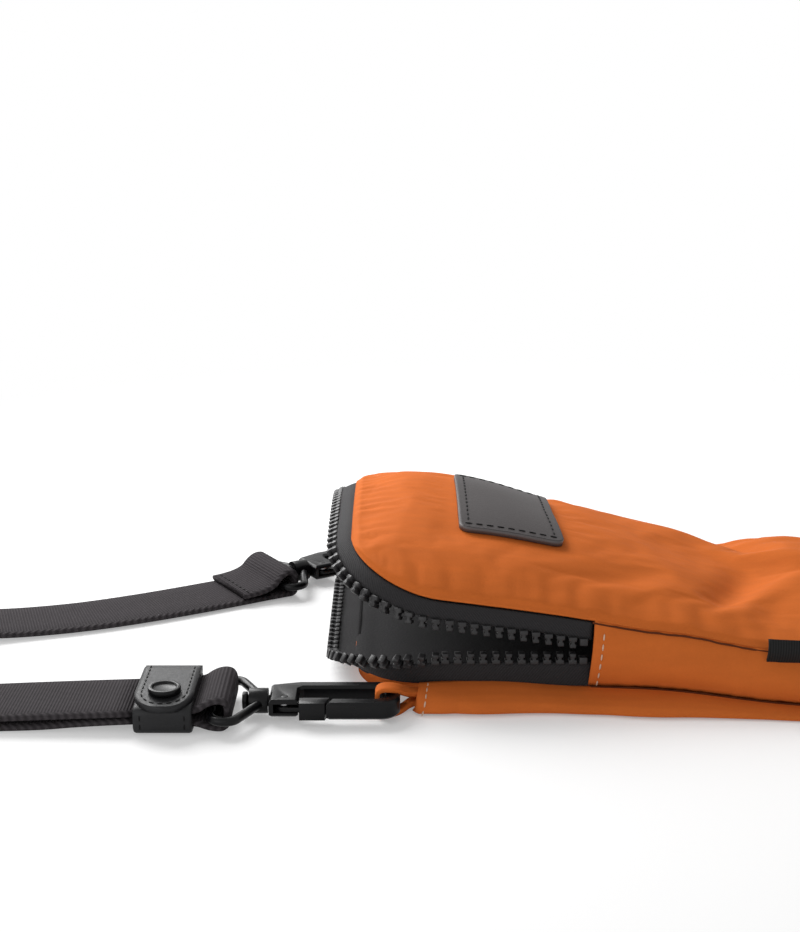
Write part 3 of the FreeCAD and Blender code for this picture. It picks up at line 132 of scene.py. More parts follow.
class Tree:
    """A node tree, and the fields made in it."""

    def __init__(self, tree):
        self.tree = tree

    def node(self, kind, output=0, settings=None, **inputs):
        made = self.tree.nodes.new(kind)
        for key, value in (settings or {}).items():
            setattr(made, key, value)
        for key, value in inputs.items():
            socket = made.inputs[int(key[1:])] if key[1:].isdigit() else made.inputs[key.replace("_", " ")]
            if isinstance(value, Field):
                self.tree.links.new(value.socket, socket)
            else:
                socket.default_value = value
        return Field(self, made.outputs[output])

    def math(self, operation, a, b=0.0):
        return self.node("ShaderNodeMath", settings={"operation": operation}, i0=a, i1=b)

    def show(self, shader, output):
        """Puts a shader on the tree's output."""
        self.tree.links.new(shader.socket, self.tree.nodes[output].inputs["Surface"])


class Paint(Tree):
    """A material with a Principled shader, and the fields that feed it."""

    def __init__(self, name, color, roughness, **fixed):
        self.material = bpy.data.materials.new(name)
        self.material.use_nodes = True
        super().__init__(self.material.node_tree)
        self.color, self.shader = color, self.tree.nodes["Principled BSDF"]
        self.put("Base Color", (*color, 1))
        self.put("Roughness", roughness)
        for socket, value in fixed.items():
            self.put(socket.replace("_", " "), value)

    def put(self, socket, value):
        if isinstance(value, Field):
            self.tree.links.new(value.socket, self.shader.inputs[socket])
        else:
            self.shader.inputs[socket].default_value = value

    def place(self):
        return self.node("ShaderNodeTexCoord", output="Object")

    def attribute(self, name):
        return self.node("ShaderNodeAttribute", output="Fac", settings={"attribute_name": name})

    def noise(self, scale, detail=2.0, place=None):
        return self.node("ShaderNodeTexNoise", Vector=place or self.place(), Scale=scale, Detail=detail)

    def stripes(self, field, period):
        """0 to 1 and back once in each period, in metres."""
        return self.math("SINE", field * (2 * math.pi / period)) * 0.5 + 0.5

    def mix(self, share, a, b):
        made = self.node("ShaderNodeMix", output="Result", settings={"data_type": "RGBA"}, Factor=share)
        mixer = made.socket.node
        mixer.inputs[6].default_value, mixer.inputs[7].default_value = (*a, 1), (*b, 1)
        return Field(self, mixer.outputs[2])

    def bump(self, height, strength, distance):
        self.put("Normal", self.node("ShaderNodeBump", Strength=strength, Distance=distance, Height=height))

    def rough(self, scale, detail, spread, least):
        """Lets the roughness vary with noise above a least value."""
        self.put("Roughness", self.noise(scale, detail) * spread + least)

    def mottle(self, share, darkest, lightest):
        """Lets the colour vary between two shares of itself."""
        dark, light = ([c * part for c in self.color] for part in (darkest, lightest))
        self.put("Base Color", self.mix(share, dark, light))


print("node wrapper ready")


# %% [markdown]
# ## Materials
# Cloth is a satin nylon with a faint slub and a fine weave; the zip's tape is a twill; the webbing is ribbed
# across its width with a plaited selvage. Image textures would tie them to one picture, so each is worked out
# from the piece's own attributes or its place.

# %% Materials
cloth = Paint("orange_cloth", (0.585, 0.140, 0.027), 0.75, Specular_IOR_Level=0.05)
drawn = cloth.node("ShaderNodeMapping", Vector=cloth.place(), Scale=(0.25, 1.0, 1.0))
slub = cloth.noise(260, 3, drawn)
fine = cloth.noise(1400, 1)
cloth.mottle(slub * 0.75 + fine * 0.25, 0.84, 1.14)
cloth.put("Roughness", slub * 0.16 + 0.68)
cloth.bump(fine * 0.7 + slub * 0.3, 0.18, 0.0002)

lining = Paint("lining_cloth", (0.02, 0.019, 0.02), 0.8, Specular_IOR_Level=0.2)
lining.bump(lining.noise(1200, 2), 0.4, 0.0003)

tape = Paint("zip_tape", (0.017, 0.016, 0.017), 0.75, Specular_IOR_Level=0.2)
twill = tape.stripes(tape.attribute("along") + tape.attribute("across") * 0.8, 0.0009)
knit = twill * 0.45 + tape.noise(1500, 2) * 0.55
tape.mottle(knit, 0.6, 1.6)
tape.bump(knit, 0.5, 0.0003)

tooth_plastic = Paint("zip_plastic", (0.02, 0.019, 0.02), 0.38, Specular_IOR_Level=0.3)
tooth_plastic.rough(900, 2, 0.25, 0.28)

black_metal = Paint("black_metal", (0.003, 0.003, 0.0035), 0.25, Specular_IOR_Level=0.16)
black_metal.rough(400, 3, 0.2, 0.2)

steel = Paint("bare_steel", (0.42, 0.42, 0.43), 0.32, Metallic=1.0)
steel.rough(600, 2, 0.2, 0.22)

leather = Paint("patch_leather", (0.042, 0.036, 0.036), 0.55, Specular_IOR_Level=0.22)
grain = leather.noise(1500, 4)
leather.mottle(grain, 0.8, 1.25)
leather.bump(grain, 0.35, 0.0002)

edge_paint = Paint("edge_paint", (0.085, 0.078, 0.078), 0.45)
edge_paint.rough(500, 2, 0.2, 0.35)

keeper_leather = Paint("keeper_leather", (0.012, 0.012, 0.013), 0.45, Specular_IOR_Level=0.2)
keeper_grain = keeper_leather.noise(1300, 4)
keeper_leather.put("Roughness", keeper_grain * 0.25 + 0.33)
keeper_leather.bump(keeper_grain, 0.3, 0.0002)

WEB_WIDTH, WEB_THICK, SELVAGE_AT = 0.025, 0.0018, 0.0108
webbing = Paint("webbing", (0.045, 0.040, 0.043), 0.8, Specular_IOR_Level=0.06)
along, across = webbing.attribute("along"), webbing.attribute("across")
rib = webbing.stripes(along, 0.0009)
cord_line = webbing.stripes(across, 0.0009)
selvage = webbing.math("GREATER_THAN", webbing.math("ABSOLUTE", across), SELVAGE_AT)
plait = webbing.stripes(along + webbing.math("ABSOLUTE", across), 0.0022) * 0.8
weave = (1 - selvage) * (rib * 0.7 + cord_line * 0.3) + selvage * plait
webbing.mottle(weave * 0.7 + webbing.noise(700, 2) * 0.3, 0.45, 1.35)
webbing.bump(weave, 0.6, 0.0004)

tie_cloth = Paint("tie_cloth", (0.018, 0.018, 0.019), 0.75)
tie_cloth.bump(tie_cloth.noise(1300, 2), 0.4, 0.0003)

label_cloth = Paint("label_cloth", (0.008, 0.008, 0.009), 0.7, Specular_IOR_Level=0.1)
label_rib = label_cloth.stripes(label_cloth.attribute("along"), 0.0007)
label_cloth.put("Base Color", label_cloth.mix(label_rib, (0.008, 0.008, 0.008), (0.02, 0.02, 0.02)))

pale_thread = Paint("pale_thread", (0.62, 0.42, 0.30), 0.65)
dark_thread = Paint("dark_thread", (0.006, 0.006, 0.006), 0.6, Specular_IOR_Level=0.1)
# painted shade: this dark brown is the seam thread's colour and also stands in for the shade in the seam's
# groove
seam_thread_and_shade = Paint("seam_thread_and_shade", (0.09, 0.022, 0.007), 0.6, Specular_IOR_Level=0.1)
for thread in (pale_thread, dark_thread, seam_thread_and_shade):
    thread.rough(2000, 1, 0.2, 0.5)
print("materials:", len(bpy.data.materials))


# %% [markdown]
# ## Helpers for sheets and bands
# A cloth panel is a grid whose points are put in place by a function of how far along and across they are.
# A band such as webbing is the same grid closed round a flat section. Drawing each by hand would give the same
# faces with more work, and the grid also gives every point its own place on the weave.

# %% Helpers for numbers and lines
UP, DOWN = Vector((0, 0, 1)), Vector((0, 0, -1))
ALONG_X, ALONG_Y = Vector((1, 0, 0)), Vector((0, 1, 0))


def mm(*point):
    return Vector(point) * MM


def ease(a, b, x):
    """0 before a, 1 after b and smooth between."""
    share = min(max((x - a) / (b - a), 0), 1)
    return share * share * (3 - 2 * share)


def wave(x, y, z=0.0):
    """Smooth noise from -1 to 1."""
    return noise.noise(Vector((x, y, z)))


def smooth_line(points, closed=False):
    """Points read from a NURBS spline with these control points, in metres."""
    data = bpy.data.curves.new("line", "CURVE")
    data.dimensions, data.resolution_u = "3D", 8
    made = data.splines.new("NURBS")
    made.points.add(len(points) - 1)
    for control, point in zip(made.points, points):
        control.co = (*mm(*point), 1)
    made.order_u = 3
    made.use_cyclic_u, made.use_endpoint_u = closed, not closed
    holder = bpy.data.objects.new("line", data)
    scene.collection.objects.link(holder)
    bpy.context.view_layer.update()
    mesh = bpy.data.meshes.new_from_object(holder)
    line = [v.co.copy() for v in mesh.vertices]
    bpy.data.objects.remove(holder)
    bpy.data.meshes.remove(mesh)
    return line + line[:1] if closed else line


def tree_of(piece):
    """A tree of a piece's faces, to find points on it with rays."""
    mesh = piece.data
    return BVHTree.FromPolygons([v.co for v in mesh.vertices], [tuple(p.vertices) for p in mesh.polygons])


def cast(tree, points, way, lift=0.00012):
    """Where rays from points meet a piece, a little above it, and the normals there."""
    line, normals = [], []
    for point in points:
        hit, normal, _, _ = tree.ray_cast(point, way)
        if hit:
            line.append(hit + normal * lift)
            normals.append(normal)
    return line, normals


def box_mm(node):
    """A node's lowest and highest corners in millimetres."""
    return (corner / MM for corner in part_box(node))


print("number and line helpers ready")


# %% Helpers for pieces
def finish_piece(name, bm, paint, body=None, nodes=()):
    """Turns a bmesh into a piece that rides on a body and stands for its nodes."""
    mesh = bpy.data.meshes.new(name)
    bm.to_mesh(mesh)
    bm.free()
    mesh.materials.append(paint.material)
    for face in mesh.polygons:
        face.use_smooth = True
    piece = bpy.data.objects.new(name, mesh)
    scene.collection.objects.link(piece)
    if body:
        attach(piece, body)
    if nodes:
        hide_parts(*nodes)
    return piece


def grid_sheet(rows, columns, place):
    """A grid of rows by columns.

    place(a, c), both from 0 to 1, gives a point and its place on the weave, in metres.
    """
    bm = bmesh.new()
    bmesh.ops.create_grid(bm, x_segments=rows, y_segments=columns, size=0.5)
    layers = bm.verts.layers.float.new("along"), bm.verts.layers.float.new("across")
    for vert in bm.verts:
        point, *weave_place = place(vert.co.x + 0.5, vert.co.y + 0.5)
        vert.co = point
        for layer, value in zip(layers, weave_place):
            vert[layer] = value
    return bm


# Section of a band: share of its half width, then of its half thickness
SECTION = [(-1, 0), (-0.97, 0.7), (-0.9, 1), (-0.45, 1), (0, 1), (0.45, 1), (0.9, 1), (0.97, 0.7)]
SECTION += [(-a, -t) for a, t in SECTION]


def band(line, sides, width, thick, closed=False):
    """A flat band along a line of points, with its width along each point's side direction."""
    count = len(line)
    gone = [0.0]
    for a, b in zip(line, line[1:]):
        gone.append(gone[-1] + (b - a).length)

    def place(a, c):
        row, ring = round(a * (count - 1)), round(c * len(SECTION)) % len(SECTION)
        ahead, behind = line[min(row + 1, count - 1)], line[max(row - 1, 0)]
        if closed and row in (0, count - 1):
            ahead, behind = line[1], line[count - 2]
        through = sides[row].cross(ahead - behind).normalized()
        wide, deep = SECTION[ring]
        point = line[row] + sides[row] * (wide * width / 2) + through * (deep * thick / 2)
        return point, gone[row], wide * width / 2

    bm = grid_sheet(count - 1, len(SECTION), place)
    bmesh.ops.remove_doubles(bm, verts=bm.verts, dist=1e-6)
    if not closed:
        bmesh.ops.holes_fill(bm, edges=[e for e in bm.edges if e.is_boundary], sides=0)
    bmesh.ops.recalc_face_normals(bm, faces=bm.faces)
    return bm


def bake(piece):
    """Applies a piece's modifiers."""
    bpy.context.view_layer.update()
    graph = bpy.context.evaluated_depsgraph_get()
    mesh = bpy.data.meshes.new_from_object(piece.evaluated_get(graph))
    piece.modifiers.clear()
    piece.data = mesh
    return piece


def thicken(piece, thick, offset=-1.0):
    solid = piece.modifiers.new("thick", "SOLIDIFY")
    solid.thickness, solid.offset = thick, offset
    return bake(piece)


def sheet_piece(name, grid, paint, nodes, thick, body=None, offset=-1.0, flip=False):
    """A sheet from grid_sheet's arguments, its thickness in mm. Without a body it is left unattached."""
    bm = grid_sheet(*grid)
    if flip:
        bmesh.ops.reverse_faces(bm, faces=bm.faces)
    piece = finish_piece(name, bm, paint, None, nodes)
    thicken(piece, thick * MM, offset)
    if body:
        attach(piece, body)
    return piece


def stitches(name, line, normals, paint, body, length, gap, wide):
    """Thread along a line: short capsules one gap apart, lying on the cloth. Sizes are in mm."""
    bm = bmesh.new()
    step, left = (length + gap) * MM, 0.0
    for (a, b), normal in zip(zip(line, line[1:]), normals):
        run = (b - a).length
        while left < run:
            middle = a.lerp(b, left / run)
            way = (b - a).normalized()
            side = normal.cross(way).normalized()
            turn = Matrix((way, side, way.cross(side))).transposed().to_4x4()
            size = Matrix.Diagonal((length * MM / 2, wide * MM / 2, wide * MM / 3, 1))
            where = Matrix.Translation(middle) @ turn @ size @ Matrix.Rotation(math.pi / 2, 4, "Y")
            bmesh.ops.create_uvsphere(bm, u_segments=6, v_segments=4, radius=1.0, matrix=where)
            left += step
        left -= run
    return finish_piece(name, bm, paint, body)


SHARP = math.radians(35)


def ease_edges(bm, width, segments=2):
    """Merges a hard mesh's seams and bevels its sharp edges."""
    bmesh.ops.remove_doubles(bm, verts=bm.verts, dist=2e-6)
    bmesh.ops.dissolve_limit(bm, angle_limit=math.radians(1), verts=bm.verts, edges=bm.edges)
    sharp = [e for e in bm.edges if len(e.link_faces) == 2 and e.calc_face_angle(0) > SHARP]
    bmesh.ops.bevel(
        bm, geom=sharp, offset=width * MM, offset_type="OFFSET", segments=segments, profile=0.5,
        affect="EDGES", clamp_overlap=True, material=-1,
    )


def eased_copy(node, width, paint, body, segments=2):
    """A copy of a hard node with its sharp edges bevelled."""
    bm = bmesh.new()
    bm.from_mesh(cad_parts[node].data)
    ease_edges(bm, width, segments)
    piece = finish_piece(f"{node}_eased", bm, paint, body, [node])
    piece.data.set_sharp_from_angle(angle=math.radians(40))
    return piece


print("piece helpers ready")


# %% [markdown]
# ## Floor and white world
# The floor could be a curved backdrop, but a plain plane in a white world gives the same white field and still
# takes the soft shadow under the pouch: its own white takes over from the light with distance from the middle.

# %% Floor and white world
def seen_rays(tree):
    """A field that is 1 for rays from the camera, off gloss or through glass."""
    seen = tree.node("ShaderNodeLightPath", output="Is Camera Ray")
    for name in ("Is Glossy Ray", "Is Transmission Ray"):
        seen = tree.math("MAXIMUM", seen, tree.node("ShaderNodeLightPath", output=name))
    return seen


WHITE = (1, 1, 1, 1)
floor_paint = Paint("floor", WHITE[:3], 0.85)
apart = floor_paint.node(
    "ShaderNodeVectorMath", output="Value", settings={"operation": "LENGTH"}, i0=floor_paint.place()
)
fade = floor_paint.node(
    "ShaderNodeMapRange", settings={"interpolation_type": "SMOOTHSTEP"},
    Value=apart, From_Min=0.08, From_Max=0.44, To_Min=0.25, To_Max=1.0,
)
white = floor_paint.node("ShaderNodeEmission", Color=WHITE, Strength=1.0)
lit = Field(floor_paint, floor_paint.shader.outputs[0])
faded = floor_paint.node("ShaderNodeMixShader", i0=fade * seen_rays(floor_paint), i1=lit, i2=white)
floor_paint.show(faded, "Material Output")
bm = bmesh.new()
bmesh.ops.create_grid(bm, x_segments=1, y_segments=1, size=6.0)
finish_piece("floor", bm, floor_paint)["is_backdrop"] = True

world = bpy.data.worlds.new("white_world")
scene.world = world
world.use_nodes = True
sky = Tree(world.node_tree)
background = sky.tree.nodes["Background"]
background.inputs["Color"].default_value, background.inputs["Strength"].default_value = WHITE, 0.40
glow = Field(sky, background.outputs[0])
seen = sky.node("ShaderNodeBackground", Color=WHITE, Strength=1.0)
sky.show(sky.node("ShaderNodeMixShader", i0=seen_rays(sky), i1=glow, i2=seen), "World Output")
print("floor and world ready")

# %% [markdown]
# ## Strap route
# The strap's line is one NURBS spline whose control points are the route's: near run, twist, roll, twist and
# far run. A hand-drawn curve would do for the runs, but the roll's turns have to keep one pitch, so a formula
# places twelve points to a turn, which also keeps the roll round.

# %% Strap route
ROLL, CORE, PITCH = Vector((-328.6, -9.2, 0)), 18.0, 9.5
EDGE_Z = 13.5


def on_spiral(first_angle, turned):
    """Control point of the roll after turning by so many degrees from the core's end."""
    radius = (CORE + PITCH * turned / 180) / math.cos(math.radians(15))
    angle = math.radians(first_angle + turned)
    return (ROLL.x + radius * math.cos(angle), ROLL.y + radius * math.sin(angle), EDGE_Z)


route = [(-149.0, -65.2, 5.4), (-175, -65.2, 4.6), (-204, -65.2, 3.2), (-216, -65.2, 5.2), (-230, -65.2, 11.8)]
route += [(-244, -65.2, EDGE_Z), (-258, -65.2, EDGE_Z), (-300, -65.2, EDGE_Z)]
route += [on_spiral(-90, turned) for turned in range(705, 0, -30)]
for x, y in ((-6.3, -18.0), (-11.0, -9.0), (-5.5, -0.2), (5.5, 0.2), (11.0, 9.0), (6.3, 18.0)):
    route.append((ROLL.x + x, ROLL.y + y, EDGE_Z))
route += [on_spiral(90, turned) for turned in range(15, 540, 30)]
for x, y in ((9.0, -46.4), (25.5, -40.8), (45.0, -24.4), (65.6, -7.1)):
    route.append((ROLL.x + x, ROLL.y + y, EDGE_Z))
route += [(-243, -10.0, EDGE_Z), (-229, -5.7, 11.6), (-218, -2.3, 4.6), (-204, 2.0, 1.5)]
route += [(-164.3, 14.4, 1.4), (-126.0, 38.3, 1.4)]

strap_line = smooth_line(route)
strap_length = sum((b - a).length for a, b in zip(strap_line, strap_line[1:]))
print("strap line:", len(strap_line), "points,", round(strap_length, 3), "m")

# %% [markdown]
# ## Strap ribbon
# The ribbon could be a bevelled curve, but its tilt from flat to on edge is easier to see as a side direction
# for each point of the line: level along the runs, upright in the roll and turning in the two twists.

# %% Strap ribbon
NEAR_TWIST, FAR_TWIST = (0.054, 0.104), (strap_length - 0.139, strap_length - 0.089)
sides, gone = [], 0.0
for i, point in enumerate(strap_line):
    behind, ahead = strap_line[max(i - 1, 0)], strap_line[min(i + 1, len(strap_line) - 1)]
    gone += (point - behind).length
    way = ahead - behind
    flat_way = Vector((way.x, way.y, 0)).normalized()
    flat_side = UP.cross(flat_way)
    standing = ease(*NEAR_TWIST, gone) * (1 - ease(*FAR_TWIST, gone))
    tilt = standing * math.pi / 2
    sides.append((flat_side * math.cos(tilt) + UP * math.sin(tilt)).normalized())
bm = band(strap_line, sides, WEB_WIDTH, WEB_THICK)
strap = finish_piece(
    "strap_webbing", bm, webbing, "pouch",
    ["near_strap_run", "near_strap_twist", "strap_roll", "far_strap_twist", "far_strap_run"],
)
print("strap lowest point:", round(min(v.co.z for v in strap.data.vertices) / MM, 2), "mm")


# %% [markdown]
# ## Strap ends and tie
# Each end goes round its ring and is sewn to itself. A loop could be cut from a tube, but a band along a short
# spline keeps the weave running along it, as webbing does. The tie is a thin band round the roll's turns.

# %% Strap ends and tie
# Each end: x and y of its hook, and its yaw
FAR_YAW = math.radians(32)
NEAR_END, FAR_END = (-112.95, -65.2, 0.0), (-108.88, 49.01, FAR_YAW)


def at_end(end, along, z):
    """Point at a distance along a strap's end, and its height, in mm."""
    x, y, yaw = end
    return x + along * math.cos(yaw), y + along * math.sin(yaw), z


def web_end(name, points, end, side, node):
    """A short piece of webbing through points given along and above the strap's end."""
    line = smooth_line([at_end(end, *point) for point in points])
    bm = band(line, [side] * len(line), WEB_WIDTH, WEB_THICK)
    return finish_piece(name, bm, webbing, "pouch", [node])


ROUND_RING = [(-15.5, 1.35), (-11.0, 1.2), (-10.6, 5.2), (-11.0, 9.2)]
loop = [(-36, 3.3), (-20, 3.3), *ROUND_RING, (-15.6, 9.0), (-20, 5.45), (-36, 5.4)]
near_loop = web_end("near_loop", loop, NEAR_END, ALONG_Y, "near_strap_loop")
tail = [(-36.1, 3.3), (-50, 2.7), (-64, 1.3), (-84, 1.2)]
near_tail = web_end("near_tail", tail, NEAR_END, ALONG_Y, "near_strap_tail")
fold = [(-19.9, 1.35), *ROUND_RING, (-15.6, 8.6), (-20, 3.5), (-30, 3.4)]
far_side = Vector((-math.sin(FAR_YAW), math.cos(FAR_YAW), 0))
far_fold = web_end("far_fold", fold, FAR_END, far_side, "far_strap_fold")
for row, x in enumerate((-22.5, -28.0)):
    line = [mm(*at_end(FAR_END, x, 4.45)) + far_side * (across * MM) for across in range(-10, 11, 2)]
    stitches(f"far_fold_stitches_{row}", line, [UP] * len(line), dark_thread, "pouch", 2.0, 0.8, 0.6)


def round_box(u0, u1, z0, z1, bend, side_heights):
    """Control points of a closed line round a box, with these heights between its corners."""
    below = [(u0, z0), (u0 + bend, z0), (u1 - bend, z0), (u1, z0)] + [(u1, z) for z in side_heights]
    above = [(u1, z1), (u1 - bend, z1), (u0 + bend, z1), (u0, z1)]
    return below + above + [(u0, z) for z in reversed(side_heights)]


low, high = box_mm("strap_tie")
z0, z1 = low.z + 0.3, high.z - 0.3
tie_route = round_box(low.x + 0.3, high.x - 0.3, z0, z1, 6, [z0 + 6, z1 - 6])
line = smooth_line([(x, (low.y + high.y) / 2, z) for x, z in tie_route], closed=True)
bm = band(line, [ALONG_Y] * len(line), 0.009, 0.0006, closed=True)
tie = finish_piece("strap_tie_band", bm, tie_cloth, "pouch", ["strap_tie"])
print("strap ends and tie made")

# %% [markdown]
# ## Keeper
# The keeper is a leather band round the strap with a flap that snaps over it. Both could be cut from a box, but
# leather bends with a soft edge, so the band follows a spline and the flap is a sheet that droops at its ends.

# %% Keeper
low, high = box_mm("keeper_band")
z0, z1 = low.z + 0.9, high.z - 0.9
mid_x, band_near = (low.x + high.x) / 2, low.y
ring = round_box(low.y + 0.9, high.y - 0.9, z0, z1, 5, [(z0 + z1) / 2])
line = smooth_line([(mid_x, y, z) for y, z in ring], closed=True)
bm = band(line, [ALONG_X] * len(line), 0.016, 0.0018, closed=True)
keeper = finish_piece("keeper_leather_band", bm, keeper_leather, "pouch", ["keeper_band"])

low, high = box_mm("keeper_flap")
FLAP_R, STITCH_R, DROOP, STEPS = 8, 6.2, 0.9, 24


def flap_place(a, c):
    """The flap lies over the keeper and ends in a half circle at the near side."""
    y = high.y - a * (high.y - low.y)
    into_end = max(0.0, (low.y + FLAP_R) - y)
    half_width = math.sqrt(max(FLAP_R ** 2 - into_end ** 2, 0.02))
    sag = -DROOP * ease(low.y + 9, low.y, y) - 0.7 * ease(high.y - 4, high.y, y)
    return mm(mid_x + (2 * c - 1) * half_width, y, high.z + sag), a * 0.029, (2 * c - 1) * 0.008


flap = sheet_piece(
    "keeper_leather_flap", (40, 12, flap_place), keeper_leather, ["keeper_flap"], 1.8, "flap"
)
line, stitch_z = [], high.z + 0.08
for a in range(STEPS + 1):
    y = high.y - 3 - a / STEPS * (high.y - low.y - 11)
    line.append(mm(mid_x - STITCH_R, y, stitch_z))
for a in range(1, STEPS):
    turn = math.pi + a / STEPS * math.pi
    y = low.y + FLAP_R + STITCH_R * math.sin(turn)
    line.append(mm(mid_x + STITCH_R * math.cos(turn), y, stitch_z - DROOP * ease(low.y + 9, low.y, y)))
line += [mm(2 * mid_x, 0, 0) + Vector((-p.x, p.y, p.z)) for p in reversed(line[:STEPS + 1])]
stitches("flap_stitches", line, [UP] * len(line), dark_thread, "flap", 1.7, 0.8, 0.5)
for name, x in (("left", mid_x - 6.0), ("right", mid_x + 6.0)):
    line = [mm(x, band_near, 2.9 + 0.4 * k) for k in range(9)]
    normals = [-ALONG_Y] * len(line)
    stitches(f"keeper_{name}_stitches", line, normals, dark_thread, "pouch", 1.7, 0.8, 0.5)
cap = eased_copy("snap_cap", 0.35, black_metal, "flap", 3)
stud = eased_copy("snap_stud", 0.15, black_metal, "pouch")
print("keeper made")

# %% [markdown]
# ## Hooks
# The hooks' solids have the right shape, so each is copied with its seams merged and its sharp edges bevelled.
# Modelling them again would risk leaving the frame; the bevel is what catches the light on a cast hook.

# %% Hooks
# Each piece: its node, width of its bevels, paint, body, slot and segments of its bevels
HOOK = [
    ("hook_frame", 0.45, black_metal, "hook", "dark_metal", 3),
    ("hook_gate", 0.35, black_metal, "gate", "dark_metal", 2),
    ("gate_pin", 0.2, black_metal, "hook", "bare_steel", 2),
    ("gate_spring", 0.1, steel, "hook", "bare_steel", 2),
    ("swivel_post", 0.3, black_metal, "hook", "dark_metal", 2),
    ("swivel_ring", 0.2, black_metal, None, "dark_metal", 2),
]
for side in ("near", "far"):
    for node, width, paint, body, slot, segments in HOOK:
        carrier = f"{side}_{body}" if body else "pouch"
        eased_copy(f"{side}_{node}", width, paint, carrier, segments)

# %% [markdown]
# ## Shape of the pouch
# The front is a crowned sheet over a rounded plan. It could be sculpted, but every other cloth piece has to
# meet its edge, so its heights at the seam and at the crown are formulas, smoothed between stations along the
# pouch. Its section is fuller than an arc, as padded cloth is.

# %% Pouch shape
X_MOUTH, X_FOOT, HALF = -91.2, 98.8, 56.0
MOUTH_R, FOOT_R = 26.0, 24.0
X_ZIP, X_CORNER, X_LIP = X_MOUTH + 68, X_MOUTH + MOUTH_R, X_MOUTH + 30
# Each station: x, height of the seam, height of the crown, sag of the far seam
STATIONS = [
    (-91.2, 34.5, 44.0, 0.0), (-61.2, 31.0, 43.5, 0.0), (-23.2, 25.5, 35.5, 0.0),
    (21.5, 16.7, 23.5, 6.0), (50.0, 15.0, 23.5, 2.5), (98.8, 13.5, 17.5, 0.0),
]


def heights(x):
    """Seam height, crown height and the far seam's sag at x, smooth through the stations."""
    x = min(max(x, X_MOUTH), X_FOOT)
    for i in range(len(STATIONS) - 1):
        if x <= STATIONS[i + 1][0]:
            break
    first, second = STATIONS[i], STATIONS[i + 1]
    before, after = STATIONS[max(i - 1, 0)], STATIONS[min(i + 2, len(STATIONS) - 1)]
    run = second[0] - first[0]
    t = (x - first[0]) / run
    found = []
    for k in (1, 2, 3):
        slope0 = (second[k] - before[k]) / (second[0] - before[0])
        slope1 = (after[k] - first[k]) / (after[0] - first[0])
        found.append(
            (2 * t ** 3 - 3 * t ** 2 + 1) * first[k] + (t ** 3 - 2 * t ** 2 + t) * run * slope0
            + (3 * t ** 2 - 2 * t ** 3) * second[k] + (t ** 3 - t ** 2) * run * slope1
        )
    return found


def lengthwise(a, margin=0.0):
    """x at a share of the pouch's length, closer together near the ends."""
    return (X_MOUTH + X_FOOT) / 2 + (X_FOOT - X_MOUTH - margin) / 2 * math.sin((a - 0.5) * math.pi)


def plan_half(x):
    """Half width of the plan at x."""
    if x < X_CORNER:
        return HALF - MOUTH_R + math.sqrt(max(MOUTH_R ** 2 - (X_CORNER - x) ** 2, 0))
    if x > X_FOOT - FOOT_R:
        return HALF - FOOT_R + math.sqrt(max(FOOT_R ** 2 - (x - X_FOOT + FOOT_R) ** 2, 0))
    return HALF


def spread(x, y):
    """0 to 1: how much the near side spreads past the plan, where the pouch lies flatter."""
    return ease(X_ZIP, 40, x) * ease(30, -30, y)


def front_z(x, y):
    """Height of the front, without its folds."""
    edge, crown, sag = heights(x)
    share = min(abs(y) / HALF, 1)
    near_lift = 2.1 * ease(-15, 8, x) * ease(30, -30, y) * share
    return edge + (crown - edge) * (1 - share ** 2.5) - max(sag, 0) * max(y / HALF, 0) ** 2 + near_lift


def rim_z(x):
    """Height of the lower seam."""
    drop = 1.5 * ease(-52, -25, x) * (1 - 0.35 * ease(-20, 10, x))
    return 4.0 + 2.5 * ease(X_MOUTH, X_CORNER, x) - 3.2 * ease(-15, 45, x) + 2.6 * ease(50, 95, x) - drop


def upper_spread(x, y):
    """How far the upper seam lies outside the plan."""
    return 4.0 * spread(x, y)


def lower_spread(x, y):
    """How far the lower seam lies outside the plan."""
    return 1.2 * ease(X_ZIP - 12, X_ZIP + 12, x) + 7.0 * spread(x, y)


print("crown at the mouth, zip end and foot:", [round(heights(x)[1], 1) for x in (X_MOUTH, X_ZIP, X_FOOT)])


# %% [markdown]
# ## Outline of the plan
# Back, gusset and seams go round the same outline. A curve object could give its points, but each piece also
# needs the outward direction there, so the outline is a list of straight runs and quarter turns with both.

# %% Outline of the plan
def straight(x, y, way_x, way_y, length):
    """A straight run: its length, and its point and outward direction after a distance."""
    out = Vector((way_y, -way_x, 0))
    return length, lambda gone: (x + way_x * gone, y + way_y * gone, out)


def quarter(x, y, radius, first):
    """A quarter turn about a centre, from a first angle: the same two values."""
    def point(gone):
        angle = first + gone / radius
        out = Vector((math.cos(angle), math.sin(angle), 0))
        return x + radius * math.cos(angle), y + radius * math.sin(angle), out
    return radius * math.pi / 2, point


# From the near zip end round the foot to the far one
FOOT_RUNS = [
    straight(X_ZIP, -HALF, 1, 0, X_FOOT - FOOT_R - X_ZIP),
    quarter(X_FOOT - FOOT_R, FOOT_R - HALF, FOOT_R, -math.pi / 2),
    straight(X_FOOT, FOOT_R - HALF, 0, 1, 2 * (HALF - FOOT_R)),
    quarter(X_FOOT - FOOT_R, HALF - FOOT_R, FOOT_R, 0),
    straight(X_FOOT - FOOT_R, HALF, -1, 0, X_FOOT - FOOT_R - X_ZIP),
]


def mouth_runs(inset=0.0):
    """The runs round the mouth, from the far zip end to the near one."""
    leg, middle = X_ZIP - X_CORNER, HALF - MOUTH_R
    return [
        straight(X_ZIP, HALF - inset, -1, 0, leg),
        quarter(X_CORNER, middle, MOUTH_R - inset, math.pi / 2),
        straight(X_MOUTH + inset, middle, 0, -1, 2 * middle),
        quarter(X_CORNER, -middle, MOUTH_R - inset, math.pi),
        straight(X_CORNER, inset - HALF, 1, 0, leg),
    ]


WHOLE_RUNS = FOOT_RUNS + mouth_runs()


